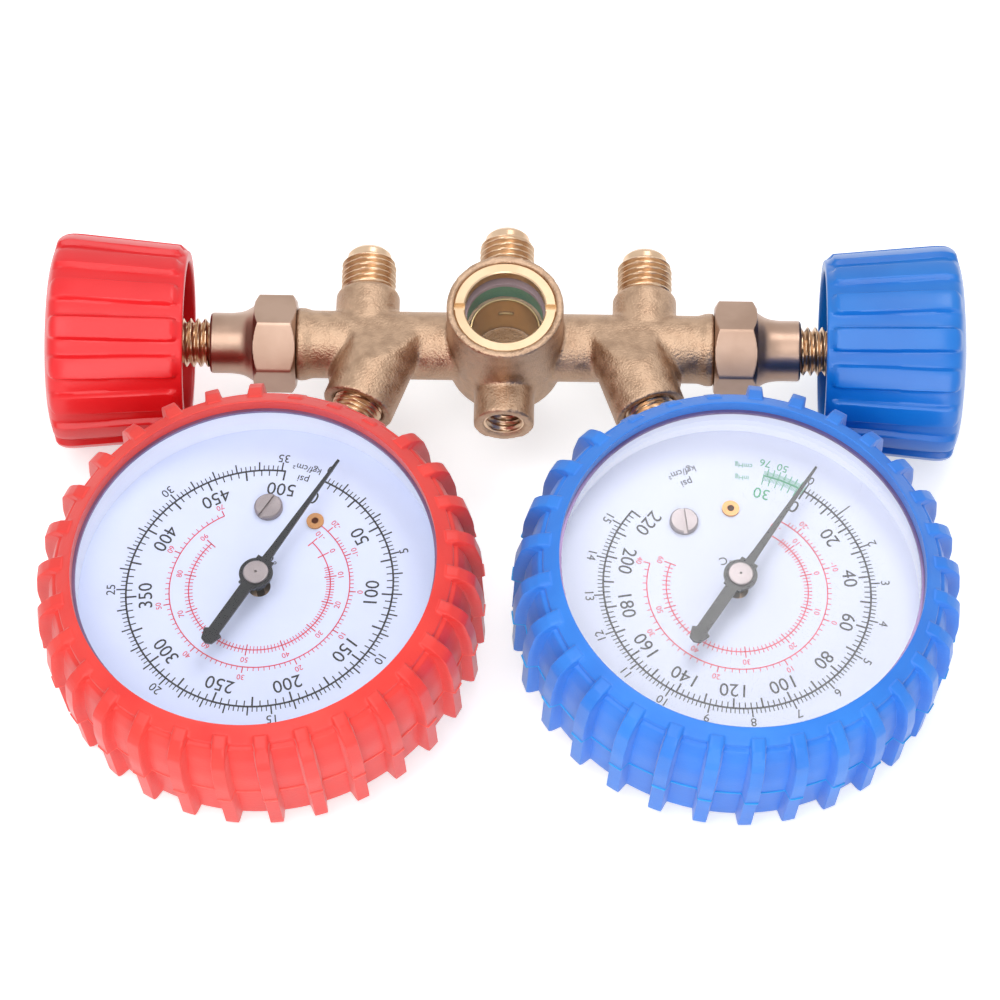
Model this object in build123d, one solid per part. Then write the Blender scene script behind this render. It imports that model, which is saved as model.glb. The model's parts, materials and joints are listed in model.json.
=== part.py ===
from build123d import *
import os
from math import atan2, cos, degrees, radians, sin, sqrt

# Two-valve refrigerant manifold with two pressure gauges, lying on its back.
#
# Manifold frame, in which every piece is drawn, in millimetres:
#   X along the bar, low side (blue) positive, high side (red) negative
#   Y towards the hose ports, so the gauges are at negative Y
#   Z up out of the dials; the origin is where the bar's axis crosses the sight glass's axis
# At the end all pieces are laid down together on the table, on the two knobs and the two boots.

SIDES = {"high": -1, "low": 1}

# ---- driving dimensions: manifold ------------------------------------------------------------
BAR_R = 6.9
BAR_HALF = 42.3                 # half length of the body, to the bonnets' hex
COLLAR_R = 7.4
COLLAR_W = 1.6
BROKEN_EDGE = 0.3               # small chamfer on turned edges
OVERSHOOT = 1.0                 # how far a cutter passes the face it leaves
PORT_X = 28.2                   # side hose ports
PORT_BOSS_R = 6.5
PORT_BOSS_Y = 12.0
PORT_CHAMFER = 0.9
DROP_BOSS_R = 7.5               # the cast lump under each side port
DROP_BOSS_Y = 10.5
DROP_CHAMFER = 2.0
HOUSING_R = 11.75               # sight glass housing
HOUSING_TOP = 16.5
HOUSING_BOTTOM = -8.2
HOUSING_BOWL = 3.2              # radius round its underside
HOOK_BOSS_R = 6.1
HOOK_BOSS_Y = 18.2
HOOK_HOLE_R = 3.4               # tapping size of an M8 thread
HOOK_HOLE_DEPTH = 9.0
GAUGE_BOSS_X = 23.5             # where the gauge boss's axis crosses the bar
GAUGE_BOSS_Z = 3.0
GAUGE_BOSS_R = 7.35
GAUGE_BOSS_END = 17.5           # along its own axis
GAUGE_BOSS_ROOT = 3.5           # how far it starts behind the bar's axis
GAUGE_BOSS_CROWN = (3.0, 4.0)   # its blunt upper end
GAUGE_BOSS_MOUTH = 0.8
SPLAY = 20.0                    # degrees between a gauge's stem and Y
PASSAGE_R = 2.0

# ---- sight glass -----------------------------------------------------------------------------
WELL_R = 10.3
SEAT_Z = 6.5                    # shoulder that the gasket sits on
GASKET_TOP = 11.5
LENS_TOP = 13.8
RING_TOP = 16.0
RING_IN_R = 8.1
GASKET_IN_R = 7.8
CAVITY_R = 7.0
CAVITY_FLOOR = -4.0
SPANNER_SLOT_W = 1.5
SPANNER_SLOT_DEPTH = 1.0
RING_CHAMFER = 0.25
WELL_CLEARANCE = 0.1

# ---- quarter-inch flare ports ----------------------------------------------------------------
FLARE_R = 11.11 / 2             # 7/16 in thread, plain here at its major diameter
FLARE_NOSE_R = 4.5
FLARE_TIP_R = 3.5
FLARE_BORE_R = 2.4
FLARE_NOSE_LEN = 2.6
SIDE_PORT_TIP = 21.8
CENTRE_PORT_TIP = 26.4
SPIGOT_R = 4.2                  # the plain end let into the body
SPIGOT_LEN = 3.5

# ---- valves ----------------------------------------------------------------------------------
HEX_AF = 17.46                  # 11/16 in
HEX_END = 50.9
HEX_TURN = 25.0                 # degrees, as the wrench left it
HEX_CROWN = ((8.6, 0.0), (10.3, 1.1))    # (radius, depth from the end) of the cut that rounds the corners
CONE_END = 55.1
CONE_R = 7.6
CONE_WAIST = (2.0, 0.35)        # a point on its hollow: beyond the hex, above the nose
NOSE_END = 59.8
NOSE_R = 6.15
BONNET_TAIL_R = 5.6
BONNET_TAIL_LEN = 8.0
SPINDLE_THREAD_R = 5.0          # M10, plain here at its major diameter
SPINDLE_PITCH = 1.5
RUNNING = 0.05                  # radial running clearance
SPINDLE_R = 4.0
NEEDLE_R = 2.6
NEEDLE_TIP_R = 1.0
NECK_END = 31.0
THREAD_START = 47.5
THREAD_RUNOUT = 1.0
SHOULDER = 1.4                  # length of the slope from neck to body
CHAMBER_R = 4.5
SEAT_X = 17.5
CLOSING_TRAVEL = 2 * SPINDLE_PITCH
SEAT_GAP = 0.05
O_RING_X = 39.0
O_RING_W = 1.9
O_RING_GROOVE_R = 2.9

# ---- knobs -----------------------------------------------------------------------------------
KNOB_RIM_X = 64.7
KNOB_END_X = 94.0
KNOB_RIM_R = 19.6
KNOB_END_R = 22.0
KNOB_LOBES = 16
LOBE_HEIGHT = 1.1
LOBE_WIDTH = 5.4
LOBE_CORNER = 1.7
LOBE_INSETS = (0.8, 1.6)        # from the rim and from the closed end
LOBE_DOME = 4.4
KNOB_WALL = 2.2
KNOB_FLOOR = 3.2
KNOB_HUB_R = 7.5
KNOB_HUB_INSET = 4.0            # the hub starts this far inside the rim
KNOB_WEBS = 4
KNOB_WEB_T = 1.8
KNOB_WEB_INSET = 9.0
KNOB_WEB_ANGLE = 45.0
KNOB_DOME = 4.0                 # how far the rounded end reaches down the side
KNOB_RECESS = 2.6               # for the screw's head
HEAD_CLEARANCE = 0.6
SHANK_R = 3.6                   # spindle end inside the knob
SHANK_FLAT = 2.8
SHANK_END = 86.0
KNOB_SCREW_R = 2.0
KNOB_SCREW_LEN = 7.5
KNOB_SCREW_HEAD_R = 3.9
KNOB_SCREW_HEAD_T = 1.9
CROSS_SLOT = (2.4, 0.8, 4.2)

# ---- gauges, in a frame of their own: +y up the stem, +z out of the dial -----------------------
STEM_LEN = {"high": 66.0, "low": 64.7}   # bar to the gauge's centre: each is screwed home its own way
FACE_TURN = 4.4                 # each gauge is screwed home with its face this far outwards
DIAL_Z = 9.0                    # printed face above the stem's axis
DIAL_T = 0.4
DIAL_R = 35.6
CASE_R = 37.2
CASE_BACK_R = 35.7
CASE_WALL = 0.8
CASE_BACK_Z = -5.8
LENS_Z = 15.6
LENS_T = 1.2
SPACER_T = 0.7
BEZEL_T = 0.7
STUB_R = 5.1                    # 1/8 NPT
STUB_DEPTH = 7.0
STUB_BORE_R = 1.6
SHANK_SQ = 11.0
SHANK_LEN = 6.5                 # square part outside the case
BLOCK_Y = 14.0                  # inner end of the socket block
BLOCK_TOP = 4.6
HUB_Z = 14.3                    # underside of the pointer
POINTER_T = 0.5
POINTER_LEN = 29.2
TAIL_LEN = 17.7
HUB_R = 3.3
CAP_R = 2.5
CAP_T = 0.5
ARBOR_R = 0.8
BUSH_R = 1.5
SCREW_AT = (17.6, -16.5)        # radius and angle from the stem, clockwise
EYELET_AT = (17.7, 16.0)
SCREW_HEAD_R = 2.8
SCREW_HEAD_T = 1.2
SCREW_SLOT_TURN = -12.0
DIAL_SCREW_R = 1.3
NEEDLE_ANGLE = {"high": 11.3, "low": 51.2}   # where the pointers stand, clockwise from the stem
DIAL_HOLE_R = 2.2

# ---- rubber boots ----------------------------------------------------------------------------
BOOT_LIP_R = 35.6
BOOT_LIP_Z = DIAL_Z + 11.3
BOOT_EDGE_R = 38.7
BOOT_EDGE_Z = DIAL_Z + 9.0
BOOT_BODY_R = 41.0
BOOT_BACK_Z = DIAL_Z - 17.2
BOOT_BACK_R = 40.5
LEDGE = 0.7
RIBS = 36
RIB_BASE_W = 3.4
RIB_TOP_W = 2.3
RIB_OUTLINE = [(37.6, DIAL_Z + 9.75), (39.7, DIAL_Z + 9.0), (42.8, DIAL_Z + 6.3), (43.8, DIAL_Z + 0.5),
               (43.1, BOOT_BACK_Z)]      # (radius, height) down the rib's crest
BOOT_TURN = {"high": 6.2, "low": 9.3}    # clockwise from the stem to the first rib
BOOT_BACK_OPENING_R = 26.0
STEM_NOTCH_W = 14.0

# ---- movement --------------------------------------------------------------------------------
MODULE = 0.35
PINION_TEETH = 10
SECTOR_TEETH = 100              # a full wheel's count; only an arc of it is cut
SECTOR_ARC = (-11, 3)           # teeth kept each side of the line of centres
SECTOR_DIR = -45.0              # from the arbor to the sector's pivot
SECTOR_Z = 1.0
SECTOR_T = 1.2
SECTOR_TAIL = 5.5
TAIL_ANGLE = -12.0
PILLAR_R = 1.1
PILLARS = (-5.6, 24.4)          # along the line from the arbor through the sector's pivot
PLATE_ENDS = (-9.4, 26.0)
TUBE_R = 28.0
TUBE_T = 2.6
TUBE_H = 7.0
TUBE_START_ANGLE = 97.0
TUBE_END_ANGLE = 357.0


def along_x(radius, x0, x1, y=0.0, z=0.0):
    """A cylinder whose axis is parallel to X."""
    axis = Plane(origin=(x0, y, z), z_dir=(1, 0, 0))
    return axis * Cylinder(radius, x1 - x0, align=(Align.CENTER, Align.CENTER, Align.MIN))


def along_y(radius, y0, y1, x=0.0, z=0.0):
    """A cylinder whose axis is parallel to Y."""
    axis = Plane(origin=(x, y0, z), z_dir=(0, 1, 0))
    return axis * Cylinder(radius, y1 - y0, align=(Align.CENTER, Align.CENTER, Align.MIN))


def along_z(radius, z0, z1, x=0.0, y=0.0):
    """A cylinder whose axis is parallel to Z."""
    return Pos(x, y, z0) * Cylinder(radius, z1 - z0, align=(Align.CENTER, Align.CENTER, Align.MIN))


def turned_x(points):
    """A solid turned about X from (x, radius) points that start and end on the axis."""
    return revolve(Plane.XY * make_face(Polyline(*points, close=True)), Axis.X)


def outlined(*curves):
    """A face inside curves that run end to end."""
    return make_face([edge for curve in curves for edge in curve.edges()])


def turned_z(*curves):
    """A solid turned about Z from a closed outline in the XZ plane."""
    return revolve(Plane.XZ * outlined(*curves), Axis.Z)


def polar(radius, angle):
    """Point on a dial at this radius and clockwise angle from the stem."""
    return radius * sin(radians(angle)), radius * cos(radians(angle))


def gauge_boss_plane(side, distance=0.0):
    """Plane across a gauge's stem: its z points from the bar to the gauge."""
    out = Vector(side * sin(radians(SPLAY)), -cos(radians(SPLAY)), 0)
    return Plane(origin=Vector(side * GAUGE_BOSS_X, 0, GAUGE_BOSS_Z) + out * distance, z_dir=out)


def gauge_plane(name):
    """The gauge's own frame: origin on the stem's axis, y towards the bar, z out of the dial."""
    side = SIDES[name]
    across = gauge_boss_plane(side, STEM_LEN[name])
    stem = across.z_dir * -1
    flat = stem.cross(Vector(0, 0, 1))
    face = Vector(0, 0, 1) * cos(radians(FACE_TURN)) + flat * (side * sin(radians(FACE_TURN)))
    return Plane(origin=across.origin, x_dir=stem.cross(face), z_dir=face)


# ---- the brass manifold ----------------------------------------------------------------------
def manifold_body():
    """The forged and machined bar with its bosses, bores and sight glass well."""
    body = along_x(BAR_R, -BAR_HALF, BAR_HALF)
    body += along_z(HOUSING_R, HOUSING_BOTTOM, HOUSING_TOP)
    body = fillet(body.edges().filter_by(GeomType.CIRCLE).sort_by(Axis.Z)[0], HOUSING_BOWL)
    body += along_y(HOOK_BOSS_R, -HOOK_BOSS_Y, 0)
    for side in SIDES.values():
        collar = [(BAR_HALF - 2 * COLLAR_W, 0), (BAR_HALF, 0), (BAR_HALF, COLLAR_R - BROKEN_EDGE),
                  (BAR_HALF - BROKEN_EDGE, COLLAR_R), (BAR_HALF - COLLAR_W, COLLAR_R),
                  (BAR_HALF - 2 * COLLAR_W, BAR_R)]
        body += turned_x([(side * x, r) for x, r in collar])
        boss = along_y(PORT_BOSS_R, 0, PORT_BOSS_Y, side * PORT_X)
        body += chamfer(boss.edges().sort_by(Axis.Y)[-1], PORT_CHAMFER)
        drop = along_y(DROP_BOSS_R, -DROP_BOSS_Y, 0, side * PORT_X)
        body += chamfer(drop.edges().sort_by(Axis.Y)[0], DROP_CHAMFER)
        arm = gauge_boss_plane(side, -GAUGE_BOSS_ROOT) * Cylinder(
            GAUGE_BOSS_R, GAUGE_BOSS_END + GAUGE_BOSS_ROOT, align=(Align.CENTER, Align.CENTER, Align.MIN))
        body += chamfer(arm.edges().sort_by(Axis.Y)[-1], *GAUGE_BOSS_CROWN)
    return body - manifold_bores()


def manifold_bores():
    """Everything that is drilled or bored out of the body."""
    cuts = along_z(WELL_R, SEAT_Z, HOUSING_TOP + OVERSHOOT) + along_z(CAVITY_R, CAVITY_FLOOR, SEAT_Z)
    cuts += along_y(HOOK_HOLE_R, -HOOK_BOSS_Y - OVERSHOOT, -HOOK_BOSS_Y + HOOK_HOLE_DEPTH)
    cuts += along_y(FLARE_BORE_R, 0, HOUSING_R + OVERSHOOT)
    cuts += along_y(SPIGOT_R, HOUSING_R - SPIGOT_LEN, HOUSING_R + 5)
    for side in SIDES.values():
        bore = [(0, 0), (0, PASSAGE_R), (SEAT_X, PASSAGE_R),
                (SEAT_X + CHAMBER_R - PASSAGE_R, CHAMBER_R),
                (BAR_HALF - BONNET_TAIL_LEN, CHAMBER_R),
                (BAR_HALF - BONNET_TAIL_LEN, BONNET_TAIL_R),
                (BAR_HALF + OVERSHOOT, BONNET_TAIL_R), (BAR_HALF + OVERSHOOT, 0)]
        cuts += turned_x([(side * x, r) for x, r in bore])
        cuts += along_y(FLARE_BORE_R, 0, PORT_BOSS_Y + OVERSHOOT, side * PORT_X)
        cuts += along_y(SPIGOT_R, PORT_BOSS_Y - SPIGOT_LEN, PORT_BOSS_Y + OVERSHOOT, side * PORT_X)
        cuts += gauge_boss_plane(side, GAUGE_BOSS_END - STUB_DEPTH) * Cylinder(
            STUB_R, STUB_DEPTH + OVERSHOOT, align=(Align.CENTER, Align.CENTER, Align.MIN))
        cuts += gauge_boss_plane(side, 0) * Cylinder(
            PASSAGE_R, GAUGE_BOSS_END, align=(Align.CENTER, Align.CENTER, Align.MIN))
        mouth = gauge_boss_plane(side, GAUGE_BOSS_END - GAUGE_BOSS_MOUTH) * Cone(
            STUB_R, STUB_R + GAUGE_BOSS_MOUTH, GAUGE_BOSS_MOUTH,
            align=(Align.CENTER, Align.CENTER, Align.MIN))
        cuts += mouth
    return cuts


def flare_port(x, seat_y, tip_y):
    """A flare nipple: spigot in the body, threaded barrel, 45 degree nose and through bore."""
    nose_y = tip_y - FLARE_NOSE_LEN
    outline = [(seat_y - SPIGOT_LEN, FLARE_BORE_R), (seat_y - SPIGOT_LEN, SPIGOT_R),
               (seat_y, SPIGOT_R), (seat_y, FLARE_R), (nose_y, FLARE_R),
               (nose_y, FLARE_NOSE_R), (tip_y - FLARE_NOSE_R + FLARE_TIP_R, FLARE_NOSE_R),
               (tip_y, FLARE_TIP_R), (tip_y, FLARE_BORE_R)]
    face = make_face(Polyline(*[(r, y) for y, r in outline], close=True))
    return Pos(x, 0, 0) * revolve(face, Axis.Y)


def sight_glass():
    """Retaining ring with two spanner slots, glass and gasket, stacked in the well."""
    ring = along_z(WELL_R, LENS_TOP, RING_TOP)
    ring -= along_z(RING_IN_R, LENS_TOP - OVERSHOOT, RING_TOP + OVERSHOOT)
    ring = chamfer(ring.edges().filter_by(GeomType.CIRCLE).group_by(Axis.Z)[-1], RING_CHAMFER)
    ring -= Pos(0, 0, RING_TOP) * Box(4 * WELL_R, SPANNER_SLOT_W, 2 * SPANNER_SLOT_DEPTH)
    gasket = along_z(WELL_R - WELL_CLEARANCE, SEAT_Z, GASKET_TOP)
    gasket -= along_z(GASKET_IN_R, SEAT_Z - OVERSHOOT, LENS_TOP)
    return {"sight_glass_ring": ring,
            "sight_glass_lens": along_z(WELL_R - WELL_CLEARANCE, GASKET_TOP, LENS_TOP),
            "sight_glass_gasket": gasket}


# ---- valves, drawn on the low side and turned over for the high one ----------------------------
def bonnet():
    """Hex gland with its tail screwed into the body and its nose round the spindle."""
    hexagon = extrude(Plane(origin=(BAR_HALF, 0, 0), z_dir=(1, 0, 0))
                      * RegularPolygon(HEX_AF / 2, 6, major_radius=False, rotation=HEX_TURN),
                      HEX_END - BAR_HALF)
    crown = [(BAR_HALF + depth, r) for r, depth in HEX_CROWN]
    crown += [(HEX_END - depth, r) for r, depth in reversed(HEX_CROWN)]
    hexagon &= turned_x([(BAR_HALF, 0), *crown, (HEX_END, 0)])
    flare = outlined(
        Line((HEX_END, 0), (HEX_END, CONE_R)),
        ThreePointArc((HEX_END, CONE_R), (HEX_END + CONE_WAIST[0], NOSE_R + CONE_WAIST[1]),
                      (CONE_END, NOSE_R)),
        Polyline((CONE_END, NOSE_R), (NOSE_END - BROKEN_EDGE, NOSE_R), (NOSE_END, NOSE_R - BROKEN_EDGE),
                 (NOSE_END, 0), (HEX_END, 0)))
    shape = hexagon + revolve(flare, Axis.X)
    shape += along_x(BONNET_TAIL_R, BAR_HALF - BONNET_TAIL_LEN, BAR_HALF)
    shape -= along_x(SPINDLE_R + RUNNING, BAR_HALF - BONNET_TAIL_LEN - OVERSHOOT, NOSE_END)
    return shape - along_x(SPINDLE_THREAD_R + RUNNING, THREAD_START - CLOSING_TRAVEL - THREAD_RUNOUT,
                           NOSE_END + OVERSHOOT)


def spindle():
    """Needle, neck, o-ring groove, threaded length and the flatted shank in the knob."""
    tip_x = SEAT_X - PASSAGE_R + NEEDLE_TIP_R + CLOSING_TRAVEL + SEAT_GAP
    outline = [(tip_x, 0), (tip_x, NEEDLE_TIP_R), (tip_x + NEEDLE_R - NEEDLE_TIP_R, NEEDLE_R),
               (NECK_END, NEEDLE_R), (NECK_END + SHOULDER, SPINDLE_R),
               (O_RING_X - O_RING_W / 2, SPINDLE_R), (O_RING_X - O_RING_W / 2, O_RING_GROOVE_R),
               (O_RING_X + O_RING_W / 2, O_RING_GROOVE_R), (O_RING_X + O_RING_W / 2, SPINDLE_R),
               (THREAD_START, SPINDLE_R), (THREAD_START + THREAD_RUNOUT, SPINDLE_THREAD_R),
               (KNOB_RIM_X + KNOB_HUB_INSET, SPINDLE_THREAD_R), (KNOB_RIM_X + KNOB_HUB_INSET, SHANK_R),
               (SHANK_END, SHANK_R), (SHANK_END, 0)]
    shape = turned_x(outline) - knob_flat()
    return shape - along_x(KNOB_SCREW_R, SHANK_END - 8, SHANK_END + 1)


def knob_flat():
    """The space beyond the flat that stops the shank turning in the knob."""
    start = KNOB_RIM_X + KNOB_HUB_INSET
    return Pos(start, 0, SHANK_FLAT) * Box(
        SHANK_END - start + 2, 2 * KNOB_HUB_R, KNOB_HUB_R,
        align=(Align.MIN, Align.CENTER, Align.MIN))


def o_ring():
    """The ring that seals the spindle in the bonnet's tail."""
    section = Pos(O_RING_X, (O_RING_GROOVE_R + SPINDLE_R) / 2) * Circle(
        (SPINDLE_R - O_RING_GROOVE_R) / 2 - 0.02)
    return revolve(section, Axis.X)


def knob_radius(x):
    """Radius over the lobes: the drum widens from its open rim to its closed end."""
    return KNOB_RIM_R + (KNOB_END_R - KNOB_RIM_R) * (x - KNOB_RIM_X) / (KNOB_END_X - KNOB_RIM_X)


def knob():
    """A moulded drum, open towards the bonnet, with rounded lobes, hub and webs."""
    base_end = knob_radius(KNOB_END_X) - LOBE_HEIGHT
    dome = KNOB_DOME
    shape = turned_x([(KNOB_RIM_X, 0), (KNOB_RIM_X, KNOB_RIM_R - LOBE_HEIGHT),
                      (KNOB_END_X - dome, base_end - 0.2), (KNOB_END_X - 0.3 * dome, base_end - 0.3 * dome),
                      (KNOB_END_X, base_end - dome - 0.2), (KNOB_END_X, 0)])
    lobe = knob_lobe()
    shape += [Rot(X=k * 360 / KNOB_LOBES) * lobe for k in range(KNOB_LOBES)]
    floor_x = KNOB_END_X - KNOB_FLOOR
    hollow = turned_x([(KNOB_RIM_X - OVERSHOOT, 0),
                       (KNOB_RIM_X - OVERSHOOT, KNOB_RIM_R - LOBE_HEIGHT - KNOB_WALL),
                       (floor_x, base_end - KNOB_WALL - 1.5), (floor_x, 0)])
    inside = along_x(KNOB_HUB_R, KNOB_RIM_X + KNOB_HUB_INSET, floor_x)
    for k in range(KNOB_WEBS):
        web = Pos(KNOB_RIM_X + KNOB_WEB_INSET, 0, 0) * Box(
            floor_x - KNOB_RIM_X - KNOB_WEB_INSET, KNOB_WEB_T, KNOB_END_R,
            align=(Align.MIN, Align.CENTER, Align.MIN))
        inside += Rot(X=KNOB_WEB_ANGLE + k * 360 / KNOB_WEBS) * web
    shape -= hollow - (inside & hollow)
    socket = along_x(SHANK_R, KNOB_RIM_X + 3, SHANK_END + 0.5) - knob_flat()
    shape -= socket
    shape -= along_x(KNOB_SCREW_R + 0.2, SHANK_END, KNOB_END_X + OVERSHOOT)
    return shape - along_x(KNOB_SCREW_HEAD_R + HEAD_CLEARANCE, KNOB_END_X - KNOB_RECESS,
                           KNOB_END_X + OVERSHOOT)


def knob_lobe():
    """One raised bar with rounded corners, lying on the drum at +Z."""
    start, end = KNOB_RIM_X + LOBE_INSETS[0], KNOB_END_X - LOBE_INSETS[1]
    plan = Pos((start + end) / 2, 0, 0) * Rectangle(end - start, LOBE_WIDTH)
    pad = extrude(chamfer(plan.vertices(), LOBE_CORNER), 30)
    dome = LOBE_DOME
    cover = turned_x([(start - 1, 0), (start - 1, knob_radius(start)),
                      (KNOB_END_X - dome, knob_radius(KNOB_END_X - dome)),
                      (KNOB_END_X - 0.3 * dome, KNOB_END_R - 0.35 * dome),
                      (KNOB_END_X, KNOB_END_R - dome - 0.3), (KNOB_END_X, 0)])
    return (pad & cover) - along_x(14.0, KNOB_RIM_X - 1, KNOB_END_X + 1)


def knob_screw():
    """The pan-head screw that holds the knob on its shank."""
    head_x = KNOB_END_X - KNOB_RECESS
    shape = along_x(KNOB_SCREW_R, SHANK_END - KNOB_SCREW_LEN, head_x)
    shape += along_x(KNOB_SCREW_HEAD_R, head_x, head_x + KNOB_SCREW_HEAD_T)
    shape = fillet(shape.edges().sort_by(Axis.X)[-1], 0.7)
    for turn in (0, 90):
        shape -= Rot(X=turn) * Pos(head_x + KNOB_SCREW_HEAD_T, 0, 0) * Box(*CROSS_SLOT)
    return shape


# ---- gauges, each drawn in its own frame -------------------------------------------------------
def gauge_socket(stem_len):
    """Brass stem: threaded stub, square shank and the block that the tube is brazed into."""
    stub_end = stem_len - GAUGE_BOSS_END + STUB_DEPTH
    shank_end = CASE_BACK_R + SHANK_LEN
    shape = along_y(STUB_R, shank_end, stub_end)
    shape = chamfer(shape.edges().sort_by(Axis.Y)[-1], 0.8)
    shape += Pos(0, CASE_BACK_R - 1, 0) * Box(SHANK_SQ, shank_end - CASE_BACK_R + 1, SHANK_SQ,
                                              align=(Align.CENTER, Align.MIN, Align.CENTER))
    shape += Pos(0, BLOCK_Y, CASE_BACK_Z + CASE_WALL) * Box(
        SHANK_SQ, CASE_BACK_R - BLOCK_Y, BLOCK_TOP - CASE_BACK_Z - CASE_WALL,
        align=(Align.CENTER, Align.MIN, Align.MIN))
    shape -= along_y(STUB_BORE_R, TUBE_R - 3, stub_end + OVERSHOOT)
    return shape - tube_sector(TUBE_R, TUBE_T, TUBE_H, TUBE_START_ANGLE, 110.0)


def tube_sector(radius, thickness, height, start, end):
    """A flat bar bent about Z between two angles counted anticlockwise from +x."""
    bevel = thickness / 3
    x, y = thickness / 2, height / 2
    section = make_face(Polyline((-x, bevel - y), (bevel - x, -y), (x - bevel, -y), (x, bevel - y),
                                 (x, y - bevel), (x - bevel, y), (bevel - x, y), (-x, y - bevel),
                                 close=True))
    bar = revolve(Plane.XZ * Pos(radius, -0.2) * section, Axis.Z, end - start)
    return Rot(Z=start) * bar


def bourdon_tube():
    """The flattened C-shaped tube with the tab at its tip that the link hangs on."""
    tube = tube_sector(TUBE_R, TUBE_T, TUBE_H, TUBE_START_ANGLE, TUBE_END_ANGLE)
    tab = Pos(TUBE_R - 5.2, 0, SECTOR_Z - 0.2) * Box(6.0, 3.0, 0.8,
                                                    align=(Align.MIN, Align.CENTER, Align.MIN))
    return tube + tab


def gauge_case():
    """Pressed steel cup, stepped to carry the dial, with a hole for the stem."""
    outer = along_z(CASE_BACK_R, CASE_BACK_Z, DIAL_Z) + along_z(CASE_R, DIAL_Z - DIAL_T - CASE_WALL,
                                                              LENS_Z + LENS_T)
    outer = chamfer(outer.edges().filter_by(GeomType.CIRCLE).sort_by(Axis.Z)[0], 1.0)
    inner = along_z(CASE_BACK_R - CASE_WALL, CASE_BACK_Z + CASE_WALL, DIAL_Z - DIAL_T)
    inner += along_z(CASE_R - CASE_WALL, DIAL_Z - DIAL_T, LENS_Z + LENS_T + 1)
    shape = outer - inner
    return shape - Pos(0, CASE_BACK_R - CASE_WALL - 0.6, SHANK_SQ / 2) * Box(
        SHANK_SQ, 8, SHANK_SQ + 2, align=(Align.CENTER, Align.MIN, Align.MAX))


def gauge_dial():
    """The printed disc with its clearance holes."""
    dial = along_z(DIAL_R, DIAL_Z - DIAL_T, DIAL_Z)
    dial -= along_z(DIAL_HOLE_R, DIAL_Z - 1, DIAL_Z + 1)
    for radius, angle in (SCREW_AT, EYELET_AT):
        x, y = polar(radius, angle)
        dial -= along_z(DIAL_SCREW_R + RUNNING, DIAL_Z - 1, DIAL_Z + 1, x, y)
    return dial


def dial_screw():
    """Slotted screw that sets the dial's zero."""
    x, y = polar(*SCREW_AT)
    screw = along_z(DIAL_SCREW_R, BLOCK_TOP, DIAL_Z, x, y)
    head = along_z(SCREW_HEAD_R, DIAL_Z, DIAL_Z + SCREW_HEAD_T, x, y)
    head = chamfer(head.edges().sort_by(Axis.Z)[-1], BROKEN_EDGE)
    slot = Pos(x, y, DIAL_Z + SCREW_HEAD_T) * Rot(Z=SCREW_SLOT_TURN) * Box(0.9, 8, 1.2)
    return screw + head - slot


def dial_eyelet():
    """Brass eyelet that clamps the dial's other edge."""
    x, y = polar(*EYELET_AT)
    eyelet = along_z(DIAL_SCREW_R, BLOCK_TOP, DIAL_Z, x, y) + along_z(1.7, DIAL_Z, DIAL_Z + 0.5, x, y)
    return eyelet - along_z(0.7, DIAL_Z - 2, DIAL_Z + 1, x, y)


def pointer(angle):
    """Needle with its ring and tail, pointing at this clockwise angle from the stem."""
    needle = make_face(Polyline((-0.95, 2.6), (-0.75, 6.0), (-0.22, POINTER_LEN),
                                (0.22, POINTER_LEN), (0.75, 6.0), (0.95, 2.6), close=True))
    tail = make_face(Polyline((-1.2, -2.4), (1.2, -2.4), (1.2, -14.6), (1.95, -15.0), (1.2, -17.2),
                              (0, -TAIL_LEN), (-1.2, -17.2), (-1.95, -15.0), (-1.2, -14.6),
                              close=True))
    flat = Circle(HUB_R) + needle + tail
    for y in (2.75, -2.6):
        flat += Pos(0, y) * Rectangle(3.6, 1.6)
    shape = Pos(0, 0, HUB_Z) * extrude(flat, POINTER_T)
    shape += along_z(BUSH_R, DIAL_Z + 1.2, HUB_Z)
    shape -= along_z(ARBOR_R, DIAL_Z, HUB_Z + 2)
    return Rot(Z=-angle) * shape


def pointer_cap():
    """The bright cap pressed over the pointer's hub."""
    top = HUB_Z + POINTER_T
    cap = fillet(along_z(CAP_R, top, top + CAP_T).edges().sort_by(Axis.Z)[-1], 0.3)
    return cap - along_z(0.3, top, top + CAP_T + 1)


def gear_outline(teeth, first, last, root_pad, slack):
    """A fan of straight-flanked teeth about the origin, from tooth first to tooth last."""
    pitch_r = MODULE * teeth / 2
    tip_r, root_r = pitch_r + 0.9 * MODULE, pitch_r - 1.2 * MODULE
    step = 360 / teeth
    points = [(root_r, first * step - root_pad)]
    for k in range(first, last + 1):
        centre = k * step
        for radius, share in ((root_r, -0.36), (tip_r, -0.13), (tip_r, 0.13), (root_r, 0.36)):
            points.append((radius, centre + share * slack * step))
    points.append((root_r, last * step + root_pad))
    return [(r * cos(radians(a)), r * sin(radians(a))) for r, a in points]


def pinion_arbor():
    """The pointer's arbor with its ten-tooth pinion."""
    teeth = make_face(Polyline(*gear_outline(PINION_TEETH, 0, PINION_TEETH - 1, 0, 0.86)[1:-1],
                               close=True))
    top = HUB_Z + POINTER_T
    return along_z(ARBOR_R, -3.0, top) + Pos(0, 0, SECTOR_Z - 0.4) * extrude(
        Rot(Z=SECTOR_DIR) * teeth, SECTOR_T + 0.8)


def sector_pivot():
    """Where the sector turns, in the gauge's frame."""
    reach = MODULE * (PINION_TEETH + SECTOR_TEETH) / 2
    return reach * cos(radians(SECTOR_DIR)), reach * sin(radians(SECTOR_DIR))


def tail_pin():
    """Where the link's pin stands on the sector's tail."""
    x, y = sector_pivot()
    return x + SECTOR_TAIL * cos(radians(TAIL_ANGLE)), y + SECTOR_TAIL * sin(radians(TAIL_ANGLE))


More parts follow.
